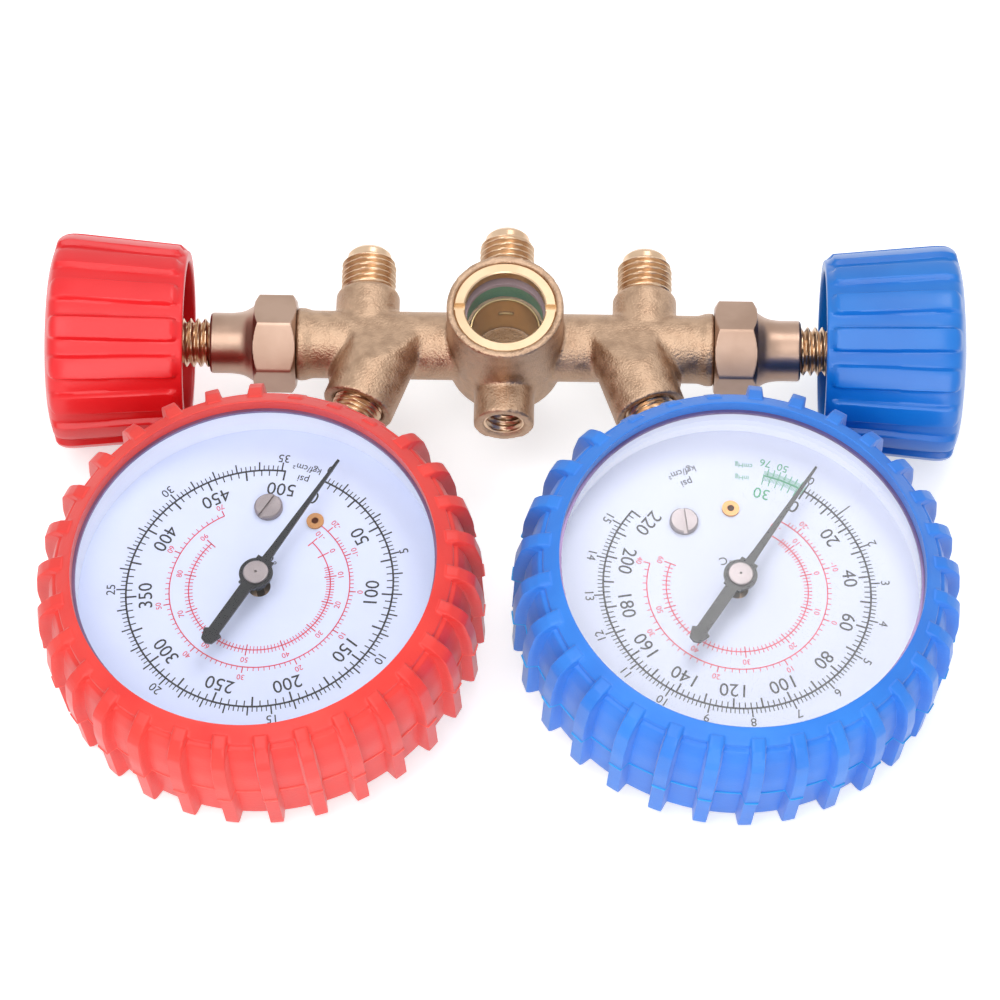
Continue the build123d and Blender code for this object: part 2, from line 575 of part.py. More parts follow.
def sector_gear():
    """Toothed quadrant, its pivot pin and the tail that the link pulls."""
    first, last = SECTOR_ARC
    outline = gear_outline(SECTOR_TEETH, first, last, 1.5, 0.86)
    hub = [(3.0 * cos(radians(a)), 3.0 * sin(radians(a)))
           for a in (last * 3.6 + 40, first * 3.6 - 40)]
    fan = make_face(Polyline(*outline, *hub, close=True)) + Circle(3.0)
    # half a tooth round, so that a gap faces the pinion's tooth on the line of centres
    fan = Rot(Z=SECTOR_DIR + 180 + 180 / SECTOR_TEETH) * fan
    tail = Rot(Z=TAIL_ANGLE) * Pos(SECTOR_TAIL / 2, 0) * SlotCenterToCenter(SECTOR_TAIL, 2.6)
    plate = Pos(0, 0, SECTOR_Z) * extrude(fan + tail, SECTOR_T)
    x, y = sector_pivot()
    shape = Pos(x, y, 0) * (plate + along_z(0.9, -3.0, 5.8))
    pin_x, pin_y = tail_pin()
    return shape + along_z(0.6, SECTOR_Z + SECTOR_T, SECTOR_Z + SECTOR_T + 1.2, pin_x, pin_y)


def link():
    """The flat link from the sector's tail towards the tube's tip."""
    x, y = tail_pin()
    end_x, end_y = TUBE_R - 3.6, 0.0
    length = sqrt((end_x - x) ** 2 + (end_y - y) ** 2)
    lean = degrees(atan2(end_y - y, end_x - x))
    bar = Rot(Z=lean) * Pos(length / 2, 0) * SlotCenterToCenter(length, 2.2)
    z = SECTOR_Z + SECTOR_T + 0.1
    shape = Pos(x, y, z) * extrude(bar, 0.6)
    shape -= along_z(0.6 + RUNNING, z - 1, z + 1, x, y)
    return shape - along_z(0.6, z - 1, z + 1, end_x, end_y)


def movement_frame():
    """Two plates and pillars that carry the arbor and the sector."""
    x, y = sector_pivot()
    start, end = PLATE_ENDS
    bar = Rot(Z=SECTOR_DIR) * Pos((start + end) / 2, 0) * SlotOverall(end - start, 8.0)
    low = Pos(0, 0, -3.4) * extrude(bar + Pos(0, BLOCK_Y / 2) * Rectangle(7, BLOCK_Y), 1.0)
    top = Pos(0, 0, 5.0) * extrude(bar, 0.9)
    shape = low + top
    for distance in PILLARS:
        shape += along_z(PILLAR_R, -3.0, 5.4, distance * cos(radians(SECTOR_DIR)),
                         distance * sin(radians(SECTOR_DIR)))
    shape -= along_z(ARBOR_R + RUNNING, -4, 7)
    return shape - along_z(0.9 + RUNNING, -4, 7, x, y)


def lens_pieces():
    """Clear window, white spacer under it and the bright snap ring over it."""
    inner_r = CASE_R - CASE_WALL - 0.1
    spacer = along_z(inner_r, DIAL_Z, LENS_Z) - along_z(inner_r - SPACER_T, DIAL_Z - 1, LENS_Z + 1)
    bezel_z = LENS_Z + LENS_T
    bezel = along_z(CASE_R, bezel_z, bezel_z + BEZEL_T) - along_z(35.0, bezel_z - 1, bezel_z + 2)
    return {"gauge_spacer": spacer, "gauge_lens": along_z(inner_r, LENS_Z, bezel_z),
            "gauge_bezel": bezel}


def gauge_boot(turn):
    """Rubber cover that wraps the case, with straight ribs round its side."""
    back = BOOT_BACK_Z + 0.6
    ledge_z = BOOT_EDGE_Z - 1.1
    case_top = LENS_Z + LENS_T + BEZEL_T
    step_z = DIAL_Z - DIAL_T - CASE_WALL
    body = turned_z(Polyline(
        (BOOT_LIP_R, BOOT_LIP_Z), (BOOT_EDGE_R, BOOT_EDGE_Z), (BOOT_EDGE_R + 0.1, ledge_z),
        (BOOT_EDGE_R - LEDGE, ledge_z), (BOOT_BODY_R - 0.7, DIAL_Z), (BOOT_BODY_R, 0),
        (BOOT_BACK_R, back), (BOOT_BACK_OPENING_R, back), (BOOT_BACK_OPENING_R, CASE_BACK_Z),
        (CASE_BACK_R, CASE_BACK_Z), (CASE_BACK_R, step_z), (CASE_R, step_z), (CASE_R, case_top),
        (BOOT_LIP_R, case_top), (BOOT_LIP_R, BOOT_LIP_Z)))
    rib = boot_rib()
    body += [place * rib for place in PolarLocations(0, RIBS, start_angle=90 - turn)]
    notch = Pos(0, CASE_BACK_R - 3, BOOT_BACK_Z - 1) * Box(
        STEM_NOTCH_W, 16, 8.0 - BOOT_BACK_Z, align=(Align.CENTER, Align.MIN, Align.MIN))
    return body - notch


def boot_rib():
    """One rib at +X: a drafted bar under the crest line that all the ribs share."""
    root = 37.6
    reach = 45.0
    slope = (RIB_BASE_W - RIB_TOP_W) / 2 / (reach - BOOT_EDGE_R)
    base = RIB_BASE_W / 2 + slope * (BOOT_EDGE_R - root)
    bar = extrude(Pos(0, 0, BOOT_BACK_Z) * make_face(
        Polyline((root, -base), (reach, -RIB_TOP_W / 2), (reach, RIB_TOP_W / 2), (root, base),
                 close=True)), BOOT_LIP_Z - BOOT_BACK_Z)
    crest = turned_z(Polyline((0, BOOT_BACK_Z), *reversed(RIB_OUTLINE), (0, RIB_OUTLINE[0][1]),
                              (0, BOOT_BACK_Z)))
    return bar & crest


def gauge_pieces(name):
    """Every piece of one gauge, in the gauge's own frame."""
    pieces = {"gauge_boot": gauge_boot(BOOT_TURN[name]), "gauge_case": gauge_case(),
              "gauge_dial": gauge_dial(),
              "gauge_socket": gauge_socket(STEM_LEN[name]), "bourdon_tube": bourdon_tube(),
              "movement_frame": movement_frame(), "sector_gear": sector_gear(), "link": link(),
              "pinion_arbor": pinion_arbor(), "pointer": pointer(NEEDLE_ANGLE[name]),
              "pointer_cap": pointer_cap(), "dial_screw": dial_screw(),
              "dial_eyelet": dial_eyelet()}
    return pieces | lens_pieces()


# ---- lying on the table ------------------------------------------------------------------------
def lowest(shape, tilt):
    """Lowest height of a piece once it has turned by tilt degrees about X."""
    return (Rot(X=tilt) * shape).bounding_box().min.Z


def resting_tilt(nodes):
    """The tilt about X at which the boots are down as low as the knobs."""
    flat, steep = 0.0, 20.0
    while steep - flat > 0.001:
        tilt = (flat + steep) / 2
        if lowest(nodes["low_gauge_boot"], tilt) > lowest(nodes["low_knob"], tilt):
            flat = tilt
        else:
            steep = tilt
    return flat


def assembly():
    """All nodes by name, in the manifold frame."""
    nodes = {"manifold_body": manifold_body()} | sight_glass()
    for name, side in SIDES.items():
        nodes[f"{name}_flare_port"] = flare_port(side * PORT_X, PORT_BOSS_Y, SIDE_PORT_TIP)
    nodes["centre_flare_port"] = flare_port(0, HOUSING_R + 0.6, CENTRE_PORT_TIP)
    valve = {"bonnet": bonnet(), "spindle": spindle(), "stem_o_ring": o_ring(), "knob": knob(),
             "knob_screw": knob_screw()}
    for name, side in SIDES.items():
        turn = Rot(Z=0) if side > 0 else Rot(Y=180)
        for piece, shape in valve.items():
            nodes[f"{name}_{piece}"] = turn * shape
        place = gauge_plane(name).location
        for piece, shape in gauge_pieces(name).items():
            nodes[f"{name}_{piece}"] = place * shape
    return nodes


def resting_place(nodes):
    """From the manifold frame to the table: origin under the middle, +Z up."""
    tilt = Rot(X=resting_tilt(nodes))
    solids = [solid for shape in nodes.values() for solid in (tilt * shape).solids()]
    box = Compound(solids).bounding_box()
    return Pos(-box.center().X, -box.center().Y, -box.min.Z) * tilt


def main():
    os.makedirs("parts", exist_ok=True)
    nodes = assembly()
    place = resting_place(nodes)
    for name, shape in nodes.items():
        export_step(place * shape, f"parts/{name}.step")
    print(f"{len(nodes)} nodes, laid down at {place.position} turned {place.orientation}")
    return nodes, place


main()
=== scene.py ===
# %% [markdown]
# # Two-valve refrigerant manifold with two pressure gauges
# A brass bar joins two hose ports, a centre port, two hand valves and two gauges in ribbed rubber boots.
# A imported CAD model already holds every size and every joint, so this lesson only dresses it: it loads
# that model as a fixed frame, works out detailed surfaces with numpy, and gives each finish its own
# node material. Lengths in the code are millimetres until a piece is put in its place.

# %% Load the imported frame
import json
import math

import bmesh
import bpy
import numpy as np
from mathutils import Matrix


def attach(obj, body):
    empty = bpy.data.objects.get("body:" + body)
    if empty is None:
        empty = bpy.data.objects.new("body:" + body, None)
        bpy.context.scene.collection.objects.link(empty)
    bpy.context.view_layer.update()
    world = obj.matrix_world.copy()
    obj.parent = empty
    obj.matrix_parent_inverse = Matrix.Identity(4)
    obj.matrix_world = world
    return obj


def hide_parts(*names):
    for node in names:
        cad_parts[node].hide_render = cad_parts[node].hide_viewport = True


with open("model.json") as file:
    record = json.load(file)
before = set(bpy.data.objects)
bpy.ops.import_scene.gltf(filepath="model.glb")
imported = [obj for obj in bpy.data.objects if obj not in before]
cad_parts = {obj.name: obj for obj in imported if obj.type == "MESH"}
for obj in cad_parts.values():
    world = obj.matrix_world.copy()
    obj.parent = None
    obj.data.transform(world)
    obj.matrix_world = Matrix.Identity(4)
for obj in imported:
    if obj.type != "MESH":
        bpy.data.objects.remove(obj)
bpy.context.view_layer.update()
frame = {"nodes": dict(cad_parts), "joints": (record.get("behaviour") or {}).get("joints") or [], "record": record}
nodes = frame["nodes"]
joints = {joint["name"]: joint for joint in frame["joints"]}
mounts = {mount["name"]: mount for mount in frame["record"]["mounts"]}
MM = 0.001
SIDES = {"high": -1, "low": 1}
COLOURS = {"high": "red", "low": "blue"}
print(f"{len(nodes)} CAD nodes, {len(joints)} joints")

# %% [markdown]
# ## Local frames
# The bar, the two valves and the two gauges each have a natural frame: the bar's runs along X, a valve's
# z axis points out through its knob, and a gauge's z axis points out of its dial with y up its stem. They
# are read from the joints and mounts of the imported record, so a piece lands where the CAD says. A frame
# is a 4 x 4 matrix whose first three columns are its axes and whose last is its origin in metres.

# %% Read the frames from the record
SECTOR_FROM_X = -45.0       # degrees from a gauge's x axis to the pivot of its toothed sector
ARBOR_OFFSET = 1.0 * MM     # the pointer's joint stands this far above the gauge's origin


def unit(vector):
    """The vector divided by its own length."""
    return vector / np.linalg.norm(vector)


def local_frame(origin, y_axis, z_axis):
    """Matrix of a right-handed frame: x is y cross z."""
    place = np.eye(4)
    place[:3, 0] = np.cross(y_axis, z_axis)
    place[:3, 1] = y_axis
    place[:3, 2] = z_axis
    place[:3, 3] = origin
    return place


def gauge_frame(name):
    """The dial's normal is the pointer's axis reversed, and the sector's pivot tells which way is up."""
    needle, sector = joints[f"{name}_needle_turn"], joints[f"{name}_sector_turn"]
    normal = -unit(np.array(needle["axis"]))
    centre = np.array(needle["pos_m"]) - ARBOR_OFFSET * normal
    reach = np.array(sector["pos_m"]) - np.array(needle["pos_m"])
    reach = unit(reach - normal * (reach @ normal))
    turn = math.radians(90.0 - SECTOR_FROM_X)
    stem = reach * math.cos(turn) + np.cross(normal, reach) * math.sin(turn)
    return local_frame(centre, stem, normal)


seals = {side: np.array(joints[f"{side}_valve_turn"]["pos_m"]) for side in SIDES}
port_axis = unit(np.array(mounts["service_port"]["axis"]))
BAR = local_frame((seals["high"] + seals["low"]) / 2, port_axis, unit(np.cross((1, 0, 0), port_axis)))
VALVES = {side: local_frame(BAR[:3, 3], BAR[:3, 1], BAR[:3, 0] * sign) for side, sign in SIDES.items()}
GAUGES = {side: gauge_frame(side) for side in SIDES}
PORTS = {"centre": 0.0, "high": -28.2, "low": 28.2}
PORT_FRAMES = {port: local_frame(BAR[:3, 3] + BAR[:3, 0] * x * MM, BAR[:3, 2], BAR[:3, 1])
               for port, x in PORTS.items()}
for side in SIDES:
    print(side, "gauge centre", np.round(GAUGES[side][:3, 3], 4), "normal", np.round(GAUGES[side][:3, 2], 3))

# %% [markdown]
# ## The camera
# A long lens far away keeps the two dials almost free of perspective, as in a catalogue picture. The
# camera looks down on the dials from the side of the gauges' lower edges.

# %% Place the camera
LENS, SENSOR_WIDTH = 169.92, 36.0       # millimetres
SIGHT_LIMIT = 20.0          # metres: past the far edge of the floor
VIEW_DISTANCE = 942.0
VIEW_TILT = math.radians(28.14)      # away from straight down
VIEW_TURN = math.radians(-1.49)
VIEW_ROLL = math.radians(-0.46)
AIM = np.array((-0.42, -35.24, 0.0))


def aimed_camera():
    """Camera matrix: it looks along the forward axis, which tilts from -Z towards +Y of the bar's frame."""
    forward = np.array((math.sin(VIEW_TURN) * math.sin(VIEW_TILT),
                        math.cos(VIEW_TURN) * math.sin(VIEW_TILT), -math.cos(VIEW_TILT)))
    level = unit(np.cross(forward, (0, 0, 1)))
    upright = np.cross(level, forward)
    right = math.cos(VIEW_ROLL) * level + math.sin(VIEW_ROLL) * upright
    place = local_frame((AIM - forward * VIEW_DISTANCE) * MM, np.cross(right, forward), -forward)
    return BAR @ place


camera = bpy.data.objects.new("camera", bpy.data.cameras.new("camera"))
camera.data.lens = LENS
camera.data.sensor_width = SENSOR_WIDTH
camera.data.clip_end = SIGHT_LIMIT
camera.matrix_world = Matrix(aimed_camera().tolist())
bpy.context.scene.collection.objects.link(camera)
bpy.context.scene.camera = camera
print("camera at", [round(value, 3) for value in camera.matrix_world.translation])

# %% [markdown]
# ## Building blocks for surfaces
# Nearly all of these parts are turned, moulded or gear-like, so each is a grid: rows follow a profile and
# columns go round an axis. A grid becomes a mesh in three steps: number the corners of its quads, put its
# points in their place, and weld the seam and the poles. A corner of a profile is a radius, a height and
# how far it is softened by a short curve, because a real edge always catches some light.

# %% Grids and profiles
def quads_of(rows, columns, wrap_rows, wrap_columns=True):
    """Corner numbers of the quads between neighbouring rows and columns of a grid."""
    row = np.arange(rows if wrap_rows else rows - 1)[:, None]
    column = np.arange(columns if wrap_columns else columns - 1)[None, :]
    below, beside = (row + 1) % rows, (column + 1) % columns
    corners = (row * columns + column, row * columns + beside,
               below * columns + beside, below * columns + column)
    return np.stack(corners, -1).reshape(-1, 4)


def rounded(corners, closed=True, steps=4):
    """A profile through corners whose last number is how far from the corner its curve starts.
    The curve is the quadratic (1-t)^2 a + 2t(1-t) corner + t^2 b, and works in any number of dimensions."""
    corners = np.array(corners, float)
    points, reach = corners[:, :-1], corners[:, -1]
    t = np.linspace(0, 1, steps + 1)[:, None]
    run = []
    for k, corner in enumerate(points):
        before, after = points[k - 1], points[(k + 1) % len(points)]
        ends = not closed and k in (0, len(points) - 1)
        if reach[k] == 0 or ends:
            run.append(corner[None])
            continue
        a = corner + (before - corner) * min(0.45, reach[k] / np.linalg.norm(before - corner))
        b = corner + (after - corner) * min(0.45, reach[k] / np.linalg.norm(after - corner))
        run.append((1 - t) ** 2 * a + 2 * t * (1 - t) * corner + t ** 2 * b)
    return np.concatenate(run)


def dense(profile, step, closed=True):
    """The profile with points added by straight interpolation, so that no stretch is longer than step."""
    ends = np.roll(profile, -1, 0) if closed else profile[1:]
    run = []
    for start, end in zip(profile, ends):
        count = max(1, math.ceil(np.linalg.norm(end[:2] - start[:2]) / step))
        run.append(start + (end - start) * (np.arange(count) / count)[:, None])
    return np.concatenate(run if closed else run + [profile[-1:]])


# %% Turned surfaces, boxes and several forms as one
def even_turn(count):
    """Angles of equally spaced columns."""
    return np.arange(count) * 2 * math.pi / count


def turned(profile, angles, closed=True, swell=None):
    """Surface round z: the profile's (r, z) at angle t becomes (r cos t, r sin t, z).
    swell(r, z, t) gives the radius instead where the section isn't a circle."""
    r, z = profile[:, 0, None], profile[:, 1, None]
    t = np.asarray(angles)[None, :]
    radius = r + 0 * t if swell is None else swell(r, z, t)
    grid = np.stack((radius * np.cos(t), radius * np.sin(t), z + 0 * t), -1)
    length = np.concatenate(([0], np.cumsum(np.linalg.norm(np.diff(profile[:, :2], axis=0), axis=1))))
    along = np.repeat(length, len(angles))
    return grid.reshape(-1, 3), quads_of(len(profile), len(angles), closed), along


BOX_CORNERS = np.array([[x, y, z] for x in (0, 1) for y in (0, 1) for z in (0, 1)])
BOX_FACES = np.array([(0, 1, 3, 2), (4, 6, 7, 5), (0, 4, 5, 1), (2, 3, 7, 6), (0, 2, 6, 4), (1, 5, 7, 3)])


def block(low, high):
    """A box's eight corners and six outward quads."""
    points = np.array(low) + BOX_CORNERS * (np.array(high) - np.array(low))
    return points, BOX_FACES, np.zeros(8)


def together(*forms):
    """Several forms as one: the corner numbers of each go up by the points before it."""
    starts = np.cumsum([0] + [len(points) for points, _, _ in forms[:-1]])
    faces = [[corner + start for corner in face]
             for (_, own, _), start in zip(forms, starts) for face in own]
    return (np.concatenate([points for points, _, _ in forms]), faces,
            np.concatenate([along for _, _, along in forms]))


# %% From a form to an object in its place
WELD = 1e-6                 # metres


def placed(points, place):
    """Millimetres in a local frame as metres in the shared frame: R p + o for all points at once."""
    return points * MM @ place[:3, :3].T + place[:3, 3]


def weld(mesh, outward=True):
    """Merges points closer than the weld distance and turns the faces outwards."""
    form = bmesh.new()
    form.from_mesh(mesh)
    bmesh.ops.remove_doubles(form, verts=form.verts, dist=WELD)
    if outward:
        bmesh.ops.recalc_face_normals(form, faces=form.faces)
    form.to_mesh(mesh)
    form.free()


def in_scene(name, data):
    """An object that holds this data, linked into the scene."""
    thing = bpy.data.objects.new(name, data)
    bpy.context.scene.collection.objects.link(thing)
    return thing


def new_object(name, form, place, sharp=38.0):
    """An object whose mesh holds the form in its place, smooth except along edges sharper than this, or
    flat-shaded where no angle is given."""
    points, faces, along = form
    mesh = bpy.data.meshes.new(name)
    mesh.from_pydata(placed(points, place).tolist(), [], [tuple(face) for face in faces])
    mark = mesh.attributes.new("along", "FLOAT", "POINT")
    mark.data.foreach_set("value", along.astype(np.float32))
    weld(mesh)
    if sharp is not None:
        mesh.shade_smooth()
        mesh.set_sharp_from_angle(angle=math.radians(sharp))
    return in_scene(name, mesh)


# %% Cut a piece and dress it
def mesh_as_shown(thing):
    """A new mesh with the object's modifiers applied, or with its text turned into faces."""
    return bpy.data.meshes.new_from_object(thing.evaluated_get(bpy.context.evaluated_depsgraph_get()))


def cut_away(thing, form, place):
    """Subtracts a closed form from a piece with an exact boolean, applied at once."""
    cutter = new_object("cutter", form, place)
    modifier = thing.modifiers.new("cut", "BOOLEAN")
    modifier.operation = "DIFFERENCE"
    modifier.solver = "EXACT"
    modifier.object = cutter
    thing.data = mesh_as_shown(thing)
    thing.modifiers.clear()
    bpy.data.objects.remove(cutter)


def dress(thing, body, material, slot, *replaced):
    """Gives a piece its finish and the body it rides on, and hides the nodes it stands for; slot is not used."""
    thing.data.materials.clear()
    thing.data.materials.append(material)
    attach(thing, body)
    if replaced:
        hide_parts(*replaced)
    print(f"{thing.name}: {len(thing.data.polygons)} faces on {body}")
    return thing


# %% [markdown]
# ## Shared effects
# Two effects come back in many finishes. Mottle mixes two close colours by noise and gives a fine height
# with it, for cast skin, rubber and plastic. Turning puts fine rings along the profile of a turned part,
# from the distance that each point of the mesh carries in its `along` attribute. Both are node groups
# that hand out only colours, values and heights.

# %% Colours and sockets for the groups
PATCHES_FROM, PATCHES_TO = 0.35, 0.65   # the coarse noise between which one colour gives way to the other
PATCH_HEIGHT = 0.6                      # share of the coarse noise in the height


def srgb(red, green, blue):
    """A display colour of 0 to 255 as linear light: ((c + 0.055) / 1.055) ^ 2.4 above the toe."""
    values = np.array((red, green, blue)) / 255
    linear = np.where(values <= 0.04045, values / 12.92, ((values + 0.055) / 1.055) ** 2.4)
    return (*linear.tolist(), 1.0)


def new_group(name, inputs, outputs):
    """An empty shader node group with named sockets, and its two end nodes."""
    group = bpy.data.node_groups.new(name, "ShaderNodeTree")
    for label, kind, value in inputs:
        socket = group.interface.new_socket(label, in_out="INPUT", socket_type=kind)
        if value is not None:
            socket.default_value = value
    for label, kind in outputs:
        group.interface.new_socket(label, in_out="OUTPUT", socket_type=kind)
    return group, group.nodes.new("NodeGroupInput"), group.nodes.new("NodeGroupOutput")


# %% A short way to add nodes
def wired(tree, kind, output, sockets, **settings):
    """Adds a node, fills its sockets, each with a link or a plain value, and returns one of its outputs."""
    made = tree.nodes.new(kind)
    for label, value in settings.items():
        setattr(made, label, value)
    for label, value in sockets.items():
        if isinstance(value, bpy.types.NodeSocket):
            tree.links.new(value, made.inputs[label])
        else:
            made.inputs[label].default_value = value
    return made.outputs[output]


# %% The two groups
def mottle_group():
    """Colour = mix of two colours by coarse noise; Height = fine noise plus a share of the coarse one."""
    group, start, end = new_group(
        "mottle",
        (("Colour A", "NodeSocketColor", None), ("Colour B", "NodeSocketColor", None),
         ("Patches per metre", "NodeSocketFloat", 120.0), ("Grains per metre", "NodeSocketFloat", 2500.0)),
        (("Colour", "NodeSocketColor"), ("Height", "NodeSocketFloat"), ("Mask", "NodeSocketFloat")))
    given = start.outputs
    where = wired(group, "ShaderNodeTexCoord", "Object", {})
    patches = wired(group, "ShaderNodeTexNoise", "Fac",
                    {"Vector": where, "Scale": given["Patches per metre"], "Detail": 4.0})
    grains = wired(group, "ShaderNodeTexNoise", "Fac",
                   {"Vector": where, "Scale": given["Grains per metre"], "Detail": 2.0})
    contrast = wired(group, "ShaderNodeMapRange", "Result",
                     {"Value": patches, "From Min": PATCHES_FROM, "From Max": PATCHES_TO})
    mix = wired(group, "ShaderNodeMix", "Result",
                {"Factor": contrast, "A": given["Colour A"], "B": given["Colour B"]}, data_type="RGBA")
    height = wired(group, "ShaderNodeMath", "Value", {0: patches, 1: PATCH_HEIGHT, 2: grains},
                   operation="MULTIPLY_ADD")
    for label, value in (("Colour", mix), ("Height", height), ("Mask", contrast)):
        group.links.new(value, end.inputs[label])
    return group


def turning_group():
    """Height = one-dimensional noise of the distance along the profile, so it is constant on each ring."""
    group, start, end = new_group(
        "turning", (("Rings per millimetre", "NodeSocketFloat", 6.0),), (("Height", "NodeSocketFloat"),))
    along = wired(group, "ShaderNodeAttribute", "Fac", {}, attribute_name="along")
    scale = wired(group, "ShaderNodeMath", "Value",
                  {0: along, 1: start.outputs["Rings per millimetre"]}, operation="MULTIPLY")
    rings = wired(group, "ShaderNodeTexNoise", "Fac", {"W": scale, "Detail": 2.0}, noise_dimensions="1D")
    group.links.new(rings, end.inputs["Height"])
    return group


MOTTLE = mottle_group()
TURNING = turning_group()
print("groups:", [group.name for group in bpy.data.node_groups])

# %% [markdown]
# ## Finishes
# One function builds a finish from a few numbers: two colours, how metallic and how rough it is, and how
# deep its grain. Cast brass is dull and grainy, machined brass is bright with turning rings, the knobs are
# glossy plastic, the boots soft rubber. Numbers that never change over the surface are set on the shader.

# %% Finish function
def new_material(name):
    """A node material, its node tree and its Principled shader."""
    material = bpy.data.materials.new(name)
    material.use_nodes = True
    return material, material.node_tree, material.node_tree.nodes["Principled BSDF"]


def finish(name, colours, roughness, metallic=0.0, patches=120.0, grains=2500.0, depth=0.02, rings=0.0,
           rough_spread=0.0, **sockets):
    """A Principled material with mottled colour and a bump of this depth in millimetres.
    With rings above zero the bump follows the turning rings instead of the grain."""
    material, tree, shader = new_material(name)
    mottle = tree.nodes.new("ShaderNodeGroup")
    mottle.node_tree = MOTTLE
    for label, value in (("Colour A", srgb(*colours[0])), ("Colour B", srgb(*colours[1])),
                         ("Patches per metre", patches), ("Grains per metre", grains)):
        mottle.inputs[label].default_value = value
    height = mottle.outputs["Height"]
    if rings:
        height = wired(tree, "ShaderNodeGroup", "Height", {"Rings per millimetre": rings}, node_tree=TURNING)
    normal = wired(tree, "ShaderNodeBump", "Normal", {"Height": height, "Distance": depth * MM})
    tree.links.new(normal, shader.inputs["Normal"])
    tree.links.new(mottle.outputs["Colour"], shader.inputs["Base Color"])
    shader.inputs["Roughness"].default_value = roughness
    if rough_spread:
        spread = wired(tree, "ShaderNodeMapRange", "Result",
                       {"Value": mottle.outputs["Mask"], "To Min": roughness - rough_spread,
                        "To Max": roughness + rough_spread})
        tree.links.new(spread, shader.inputs["Roughness"])
    shader.inputs["Metallic"].default_value = metallic
    for label, value in sockets.items():
        shader.inputs[label.replace("_", " ")].default_value = value
    return material


# %% Glass
GLASS_IOR = 1.27            # low, as an antireflective coat makes it: a window mirrors 1.4% of the light


def clear_glass():
    """Smooth glass that lets lamp light through: shadow rays meet a Transparent shader instead."""
    material, tree, shader = new_material("clear_glass")
    for label, value in (("Base Color", (1, 1, 1, 1)), ("Roughness", 0.0), ("IOR", GLASS_IOR),
                         ("Transmission Weight", 1.0)):
        shader.inputs[label].default_value = value
    clear = wired(tree, "ShaderNodeBsdfTransparent", "BSDF", {})
    shadow_ray = wired(tree, "ShaderNodeLightPath", "Is Shadow Ray", {})
    mix = wired(tree, "ShaderNodeMixShader", "Shader", {0: shadow_ray, 1: shader.outputs["BSDF"], 2: clear})
    tree.links.new(mix, tree.nodes["Material Output"].inputs["Surface"])
    return material


# %% The finishes themselves
CAST_BRASS = finish("cast_brass", ((172, 142, 118), (196, 166, 140)), 0.44, 1.0, 420.0, 2200.0, 0.16,
                    rough_spread=0.08)
MACHINED_BRASS = finish("machined_brass", ((190, 158, 132), (206, 175, 148)), 0.33, 1.0, 90.0, rings=5.0,
                        depth=0.008)
BONNET_BRASS = finish("bonnet_brass", ((172, 143, 125), (188, 159, 141)), 0.33, 1.0, 90.0, rings=5.0,
                      depth=0.008)
RING_BRASS = finish("ring_brass", ((208, 180, 146), (224, 197, 164)), 0.38, 1.0, 160.0, rings=4.0,
                    depth=0.012, rough_spread=0.06)
THREAD_BRASS = finish("thread_brass", ((204, 173, 143), (222, 193, 163)), 0.28, 1.0, 200.0, 3000.0, 0.01)
EYELET_BRASS = finish("eyelet_brass", ((184, 130, 82), (200, 146, 98)), 0.45, 1.0)
SLEEVE_BRASS = finish("sleeve_brass", ((226, 198, 142), (240, 212, 158)), 0.3, 1.0, 90.0, rings=3.0,
                      depth=0.01)
BRONZE_TUBE = finish("bronze_tube", ((150, 104, 70), (168, 120, 82)), 0.35, 1.0)
BRIGHT_STEEL = finish("bright_steel", ((190, 188, 186), (206, 204, 202)), 0.25, 1.0, depth=0.01)
DULL_STEEL = finish("dull_steel", ((150, 141, 143), (168, 158, 160)), 0.5, 1.0, depth=0.01)
CASE_STEEL = finish("case_steel", ((150, 150, 152), (164, 164, 166)), 0.4, 1.0)
BEZEL_DARK = finish("dark_bezel", ((128, 106, 142), (144, 122, 158)), 0.3, 0.6, depth=0.005)
GASKET_GREEN = finish("green_gasket", ((92, 148, 122), (106, 162, 136)), 0.4)
SLIP_RING = finish("slip_ring_fibre", ((176, 150, 156), (190, 164, 170)), 0.6, depth=0.005)
O_RING_RUBBER = finish("black_rubber", ((24, 24, 26), (32, 32, 34)), 0.5)
POINTER_BLACK = finish("pointer_black", ((16, 16, 22), (24, 24, 30)), 0.35, depth=0.002)
SPACER_WHITE = finish("white_spacer", ((236, 240, 255), (240, 244, 255)), 0.5, depth=0.004)
DIAL_WHITE = {side: finish(f"dial_white_{side}", pair, 0.45, depth=0.002) for side, pair in (
    ("high", ((216, 224, 252), (218, 226, 254))), ("low", ((208, 213, 234), (210, 215, 236))))}
KNOB_PLASTIC = {
    side: finish(f"{COLOURS[side]}_knob_plastic", pair, roughness, patches=60.0, depth=0.012,
                 Coat_Weight=0.15, Coat_Roughness=coat)
    for side, pair, roughness, coat in (("high", ((234, 24, 32), (242, 34, 40)), 0.36, 0.22),
                                        ("low", ((4, 112, 206), (12, 122, 216)), 0.32, 0.2))}
BOOT_RUBBER = {
    side: finish(f"{COLOURS[side]}_boot_rubber", pair, 0.42, patches=70.0, grains=1800.0, depth=0.03,
                 rough_spread=0.06, Sheen_Weight=0.3, Sheen_Roughness=0.45)
    for side, pair in (("high", ((234, 52, 46), (244, 66, 56))), ("low", ((34, 122, 226), (46, 136, 238))))}
# the parting fin's paler colour is a painted highlight: the light line that its edge catches
FLASH_PAINTED_HIGHLIGHT = {side: finish(f"{COLOURS[side]}_flash_painted_highlight", pair, 0.38) for side, pair in (
    ("high", ((246, 92, 82), (252, 104, 94))), ("low", ((26, 160, 234), (38, 172, 242))))}
BLACK_INK = finish("black_ink", ((30, 30, 36), (36, 36, 42)), 0.5, depth=0.001)
RED_INK = finish("red_ink", ((214, 60, 84), (222, 72, 96)), 0.5, depth=0.001)
GREEN_INK = finish("green_ink", ((60, 150, 110), (70, 160, 118)), 0.5, depth=0.001)
CLEAR_GLASS = clear_glass()
print(f"{len(bpy.data.materials)} materials")

